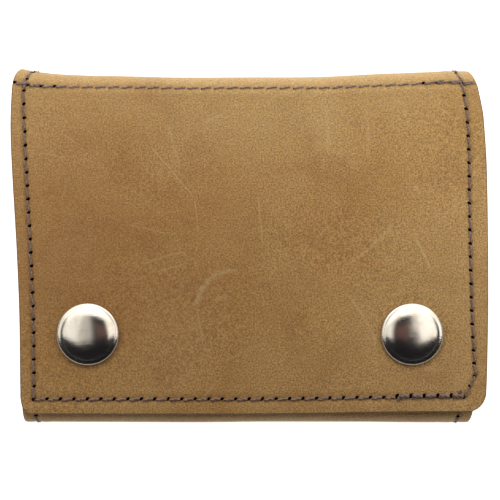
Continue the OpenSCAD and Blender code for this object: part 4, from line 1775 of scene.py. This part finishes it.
@dataclass
class Snaps:
    """Two snaps: cap, socket and spring on the front flap, stud and eyelet on the inner flap."""

    wardrobe: Wardrobe
    rim: float = 0.95
    roll: float = 0.9

    def build(self) -> None:
        """Build both snaps."""
        for side in ("left", "right"):
            cap = Box.of(f"snap_cap_{side}")
            centre = (cap.middle.x, cap.middle.y)
            self._cap(side, centre, cap.size.x / 2, cap.high.z)
            self._socket(side, centre)
            self._stud(side, centre)
            LOG.info("snap %s", side)

    def _turned(self, name: str, outline: list[tuple[float, float]], foot: tuple[float, float, float],
                steps: int, part: Part, *nodes: str, closed: bool = False) -> None:
        """Turn a nickel piece and fit it to a panel of the wallet."""
        piece = lathe(name, outline, foot, steps, closed)
        self.wardrobe.fit(piece, Finish.NICKEL, part.value, *nodes)

    def _cap(self, side: str, centre: tuple[float, float], radius: float, top: float) -> None:
        """The cap: a dome that steepens outwards, a fine crease and a rolled rim."""
        leather = Box.of("flap_shell").high.z
        rise = top - leather
        slopes = Profile(((0.0, 0.0), (1.5, 3.2), (3.0, 8.0), (4.2, 14.5), (5.2, 22.5),
                          (6.0, 31.0), (6.5, 38.0)))
        dome_r, steps = radius - self.rim, 26
        heights, drop = [(0.0, rise)], 0.0
        for i in range(steps):
            r0, r1 = dome_r * i / steps, dome_r * (i + 1) / steps
            drop += math.tan(math.radians(slopes.at((r0 + r1) / 2))) * (r1 - r0)
            heights.append((r1, rise - drop))
        under, brow = math.radians(-8.0), math.radians(54.0)
        wide = (self.rim - 0.06) / (1.0 - math.cos(brow))
        middle = heights[-1][1] - 0.02 - self.roll * math.sin(brow)
        outline = [(0.0, -0.3), (radius - 0.5, -0.24), (radius - 0.15, 0.0)]
        outline += [(radius - wide + wide * math.cos(a), middle + self.roll * math.sin(a))
                    for a in (under + (brow - under) * i / 12 for i in range(13))]
        outline += reversed(heights[:-1])
        self._turned(f"snap_cap_{side}_dome", outline, (*centre, leather), 96, Part.FLAP,
                     f"snap_cap_{side}")

    def _socket(self, side: str, centre: tuple[float, float]) -> None:
        """The socket with its rolled mouth, the rivet inside it and the split spring."""
        box = Box.of(f"snap_socket_{side}")
        tall, flange, foot = box.size.z, box.size.x / 2, (*centre, box.low.z)
        bore, wall = 3.3, 1.4
        roof = tall - 0.6
        outline = [(1.6, tall), (flange - 0.4, tall)]
        outline += arc((flange - 0.4, tall - 0.4), 0.4, 90, -90, 6)
        outline += [(bore + wall + 0.5, tall - 0.8), (bore + wall + 0.1, tall - 1.1),
                    (bore + wall, 0.6)]
        outline += arc((bore + wall / 2, 0.6), wall / 2 - 0.02, 0, -180, 10)
        outline += [(bore, tall / 2 - 0.45), (bore + 0.38, tall / 2 - 0.4),
                    (bore + 0.38, tall / 2), (bore, tall / 2 + 0.05), (bore, roof - 0.2),
                    (bore - 0.2, roof), (1.6, roof)]
        self._turned(f"snap_socket_{side}_cup", outline, foot, 72, Part.FLAP,
                     f"snap_socket_{side}", closed=True)
        rivet = [(0.0, roof - 0.18), (1.2, roof - 0.3)]
        rivet += arc((1.9, roof - 0.1), 0.24, -110, 40, 6)
        rivet += [(1.6, roof + 0.2), (1.5, tall), (0.0, tall)]
        self._turned(f"snap_rivet_{side}", rivet, foot, 48, Part.FLAP)
        self._spring(side, centre)

    def _spring(self, side: str, centre: tuple[float, float]) -> None:
        """A split ring of wire in the socket's groove."""
        middle = Box.of(f"socket_spring_{side}").middle.z
        radius, wire, gap, steps = 3.46, 0.18, 0.2, 48
        turns = [gap + (2 * math.pi - 2 * gap) * i / steps for i in range(steps + 1)]
        shape = bmesh.new()
        tube(shape, [[(centre[0] + (radius + out) * math.cos(a),
                       centre[1] + (radius + out) * math.sin(a), middle + rise)
                      for out, rise in circle(wire, 8)] for a in turns])
        self.wardrobe.fit(mesh_object(f"socket_spring_{side}_wire", shape), Finish.NICKEL,
                          Part.FLAP.value, f"socket_spring_{side}")

    def _stud(self, side: str, centre: tuple[float, float]) -> None:
        """The stud on the inner flap and the rolled eyelet behind it."""
        leather = Box.of("inner_shell").high.z
        top = Box.of(f"snap_stud_{side}").high.z - leather
        outline = [(0.0, -0.4), (4.1, -0.3)]
        outline += arc((4.2, 0.02), 0.3, -90, 90, 6)
        outline += [(3.4, 0.34), (2.5, 0.36), (2.05, 0.5), (1.9, 0.9), (1.95, 1.2)]
        outline += arc((1.95, top - 0.5), 0.45, -60, 80, 8)
        outline += [(1.5, top), (0.9, top - 0.12), (0.0, top - 0.3)]
        self._turned(f"snap_stud_{side}_post", outline, (*centre, leather), 60, Part.INNER,
                     f"snap_stud_{side}")
        eyelet = Box.of(f"stud_eyelet_{side}")
        thick = eyelet.size.z
        ring = [(1.55, thick + 0.1), (3.6, thick + 0.05)]
        ring += arc((3.7, thick - 0.22), 0.26, 80, -90, 6)
        ring += [(2.6, 0.1), (1.9, 0.02), (1.55, 0.15)]
        self._turned(f"stud_eyelet_{side}_ring", ring, (*centre, eyelet.low.z), 48, Part.INNER,
                     f"stud_eyelet_{side}", closed=True)


# ---------------------------------------------------------------- studio


@dataclass
class Studio:
    """Pale floor, soft lights and the camera straight above the wallet."""

    PANELS = (("top", (-260.0, 58.0), (260.0, 300.0), 1.6, (1.0, 0.97, 0.92)),
              ("left_near", (-66.0, -46.0), (-36.0, 58.0), 0.75, (1.0, 0.95, 0.88)),
              ("left", (-300.0, -50.0), (-66.0, 58.0), 1.35, (1.0, 0.98, 0.94)),
              ("right", (62.0, -46.0), (280.0, 58.0), 1.75, (1.0, 0.965, 0.91)),
              ("right_near", (44.0, -20.0), (62.0, 58.0), 1.0, (1.0, 0.95, 0.88)),
              ("glow", (-20.0, -34.0), (40.0, 6.0), 0.16, (1.0, 0.50, 0.40)))
    span: float = 119.75
    distance: float = 650.0
    panel_height: float = 137.0
    lens_sensor: float = 36.0
    aim: tuple[float, float] = (0.0, -0.48)

    def build(self, top: float) -> None:
        """Set up the studio.

        Args:
            top: height of the front flap in millimetres, where the view is span wide.
        """
        scene = bpy.context.scene
        scene.view_settings.view_transform = "Standard"
        self._camera(scene, top)
        self._floor()
        self._world(scene)
        for name, low, high, level, colour in self.PANELS:
            self._panel(name, low, high, level, colour)
        LOG.info("studio")

    def _camera(self, scene: bpy.types.Scene, top: float) -> None:
        """A long lens looking straight down."""
        data = bpy.data.cameras.new("camera")
        data.sensor_width = self.lens_sensor
        data.lens = self.lens_sensor * self.distance / self.span
        camera = bpy.data.objects.new("camera", data)
        camera.location = (self.aim[0] * MM, self.aim[1] * MM, (self.distance + top) * MM)
        scene.collection.objects.link(camera)
        scene.camera = camera

    def _floor(self) -> None:
        """A pale floor just below the leather."""
        shape = bmesh.new()
        box_mesh(shape, (-1500.0, -1500.0, -6.3), (1500.0, 1500.0, -0.3))
        floor = mesh_object("floor", shape, True)
        s = Shader("floor_white")
        s.set("Base Color", (0.7, 0.7, 0.7))
        s.set("Roughness", 0.9)
        s.set("Emission Color", (1.0, 1.0, 1.0))
        s.set("Emission Strength", 0.9)
        floor.data.materials.append(s.material)

    @staticmethod
    def _gradient(tree: bpy.types.NodeTree, direction: tuple[float, float, float],
                  low: tuple[float, Colour], high: tuple[float, Colour]) -> bpy.types.NodeSocket:
        """A colour that goes from one to another as the view leans along a direction."""
        place = tree.nodes.new("ShaderNodeTexCoord")
        lean = tree.nodes.new("ShaderNodeVectorMath")
        lean.operation = "DOT_PRODUCT"
        lean.inputs[1].default_value = direction
        ramp = tree.nodes.new("ShaderNodeValToRGB")
        for element, (position, colour) in zip(ramp.color_ramp.elements, (low, high)):
            element.position = position
            element.color = (*colour, 1.0)
        tree.links.new(place.outputs["Generated"], lean.inputs[0])
        tree.links.new(lean.outputs["Value"], ramp.inputs[0])
        return ramp.outputs[0]

    def _world(self, scene: bpy.types.Scene) -> None:
        """A soft room: bright towards the top of the wallet and round the horizon, else dim."""
        world = bpy.data.worlds.new("room")
        world.use_nodes = True
        tree = world.node_tree
        tree.nodes.clear()
        both = tree.nodes.new("ShaderNodeMix")
        both.data_type = "RGBA"
        both.blend_type = "LIGHTEN"
        both.inputs["Factor"].default_value = 1.0
        back = self._gradient(tree, (0.0, 0.9, -0.62), (0.02, (0.012, 0.012, 0.016)),
                              (0.30, (1.0, 0.965, 0.91)))
        horizon = self._gradient(tree, (0.0, 0.0, 1.0), (0.10, (1.0, 0.98, 0.95)),
                                 (0.24, (0.0, 0.0, 0.0)))
        tree.links.new(back, both.inputs[6])
        tree.links.new(horizon, both.inputs[7])
        background = tree.nodes.new("ShaderNodeBackground")
        tree.links.new(both.outputs[2], background.inputs["Color"])
        out = tree.nodes.new("ShaderNodeOutputWorld")
        tree.links.new(background.outputs[0], out.inputs[0])
        scene.world = world

    def _panel(self, name: str, low: tuple[float, float], high: tuple[float, float],
               level: float, colour: Colour) -> None:
        """A soft panel over the wallet, facing down, of a given brightness."""
        data = bpy.data.lights.new(name, "AREA")
        data.shape = "RECTANGLE"
        data.size = (high[0] - low[0]) * MM
        data.size_y = (high[1] - low[1]) * MM
        data.energy = level * math.pi * data.size * data.size_y
        data.color = colour
        lamp = bpy.data.objects.new(name, data)
        lamp.location = ((low[0] + high[0]) / 2 * MM, (low[1] + high[1]) / 2 * MM,
                         self.panel_height * MM)
        bpy.context.scene.collection.objects.link(lamp)


def main() -> None:
    """Load the frame and build every piece on it."""
    logging.basicConfig(level=logging.INFO, format="%(name)s: %(message)s")
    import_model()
    strip = WalletStrip()
    wardrobe = Wardrobe()
    repeat = Repeat()
    Studio().build(strip.height)
    Leatherwork(strip, wardrobe).build()
    Pockets(strip, wardrobe).build()
    Seams(strip, wardrobe, repeat).build()
    CoinPocket(strip, wardrobe, repeat).build()
    Snaps(wardrobe).build()


if __name__ == "__main__":
    main()
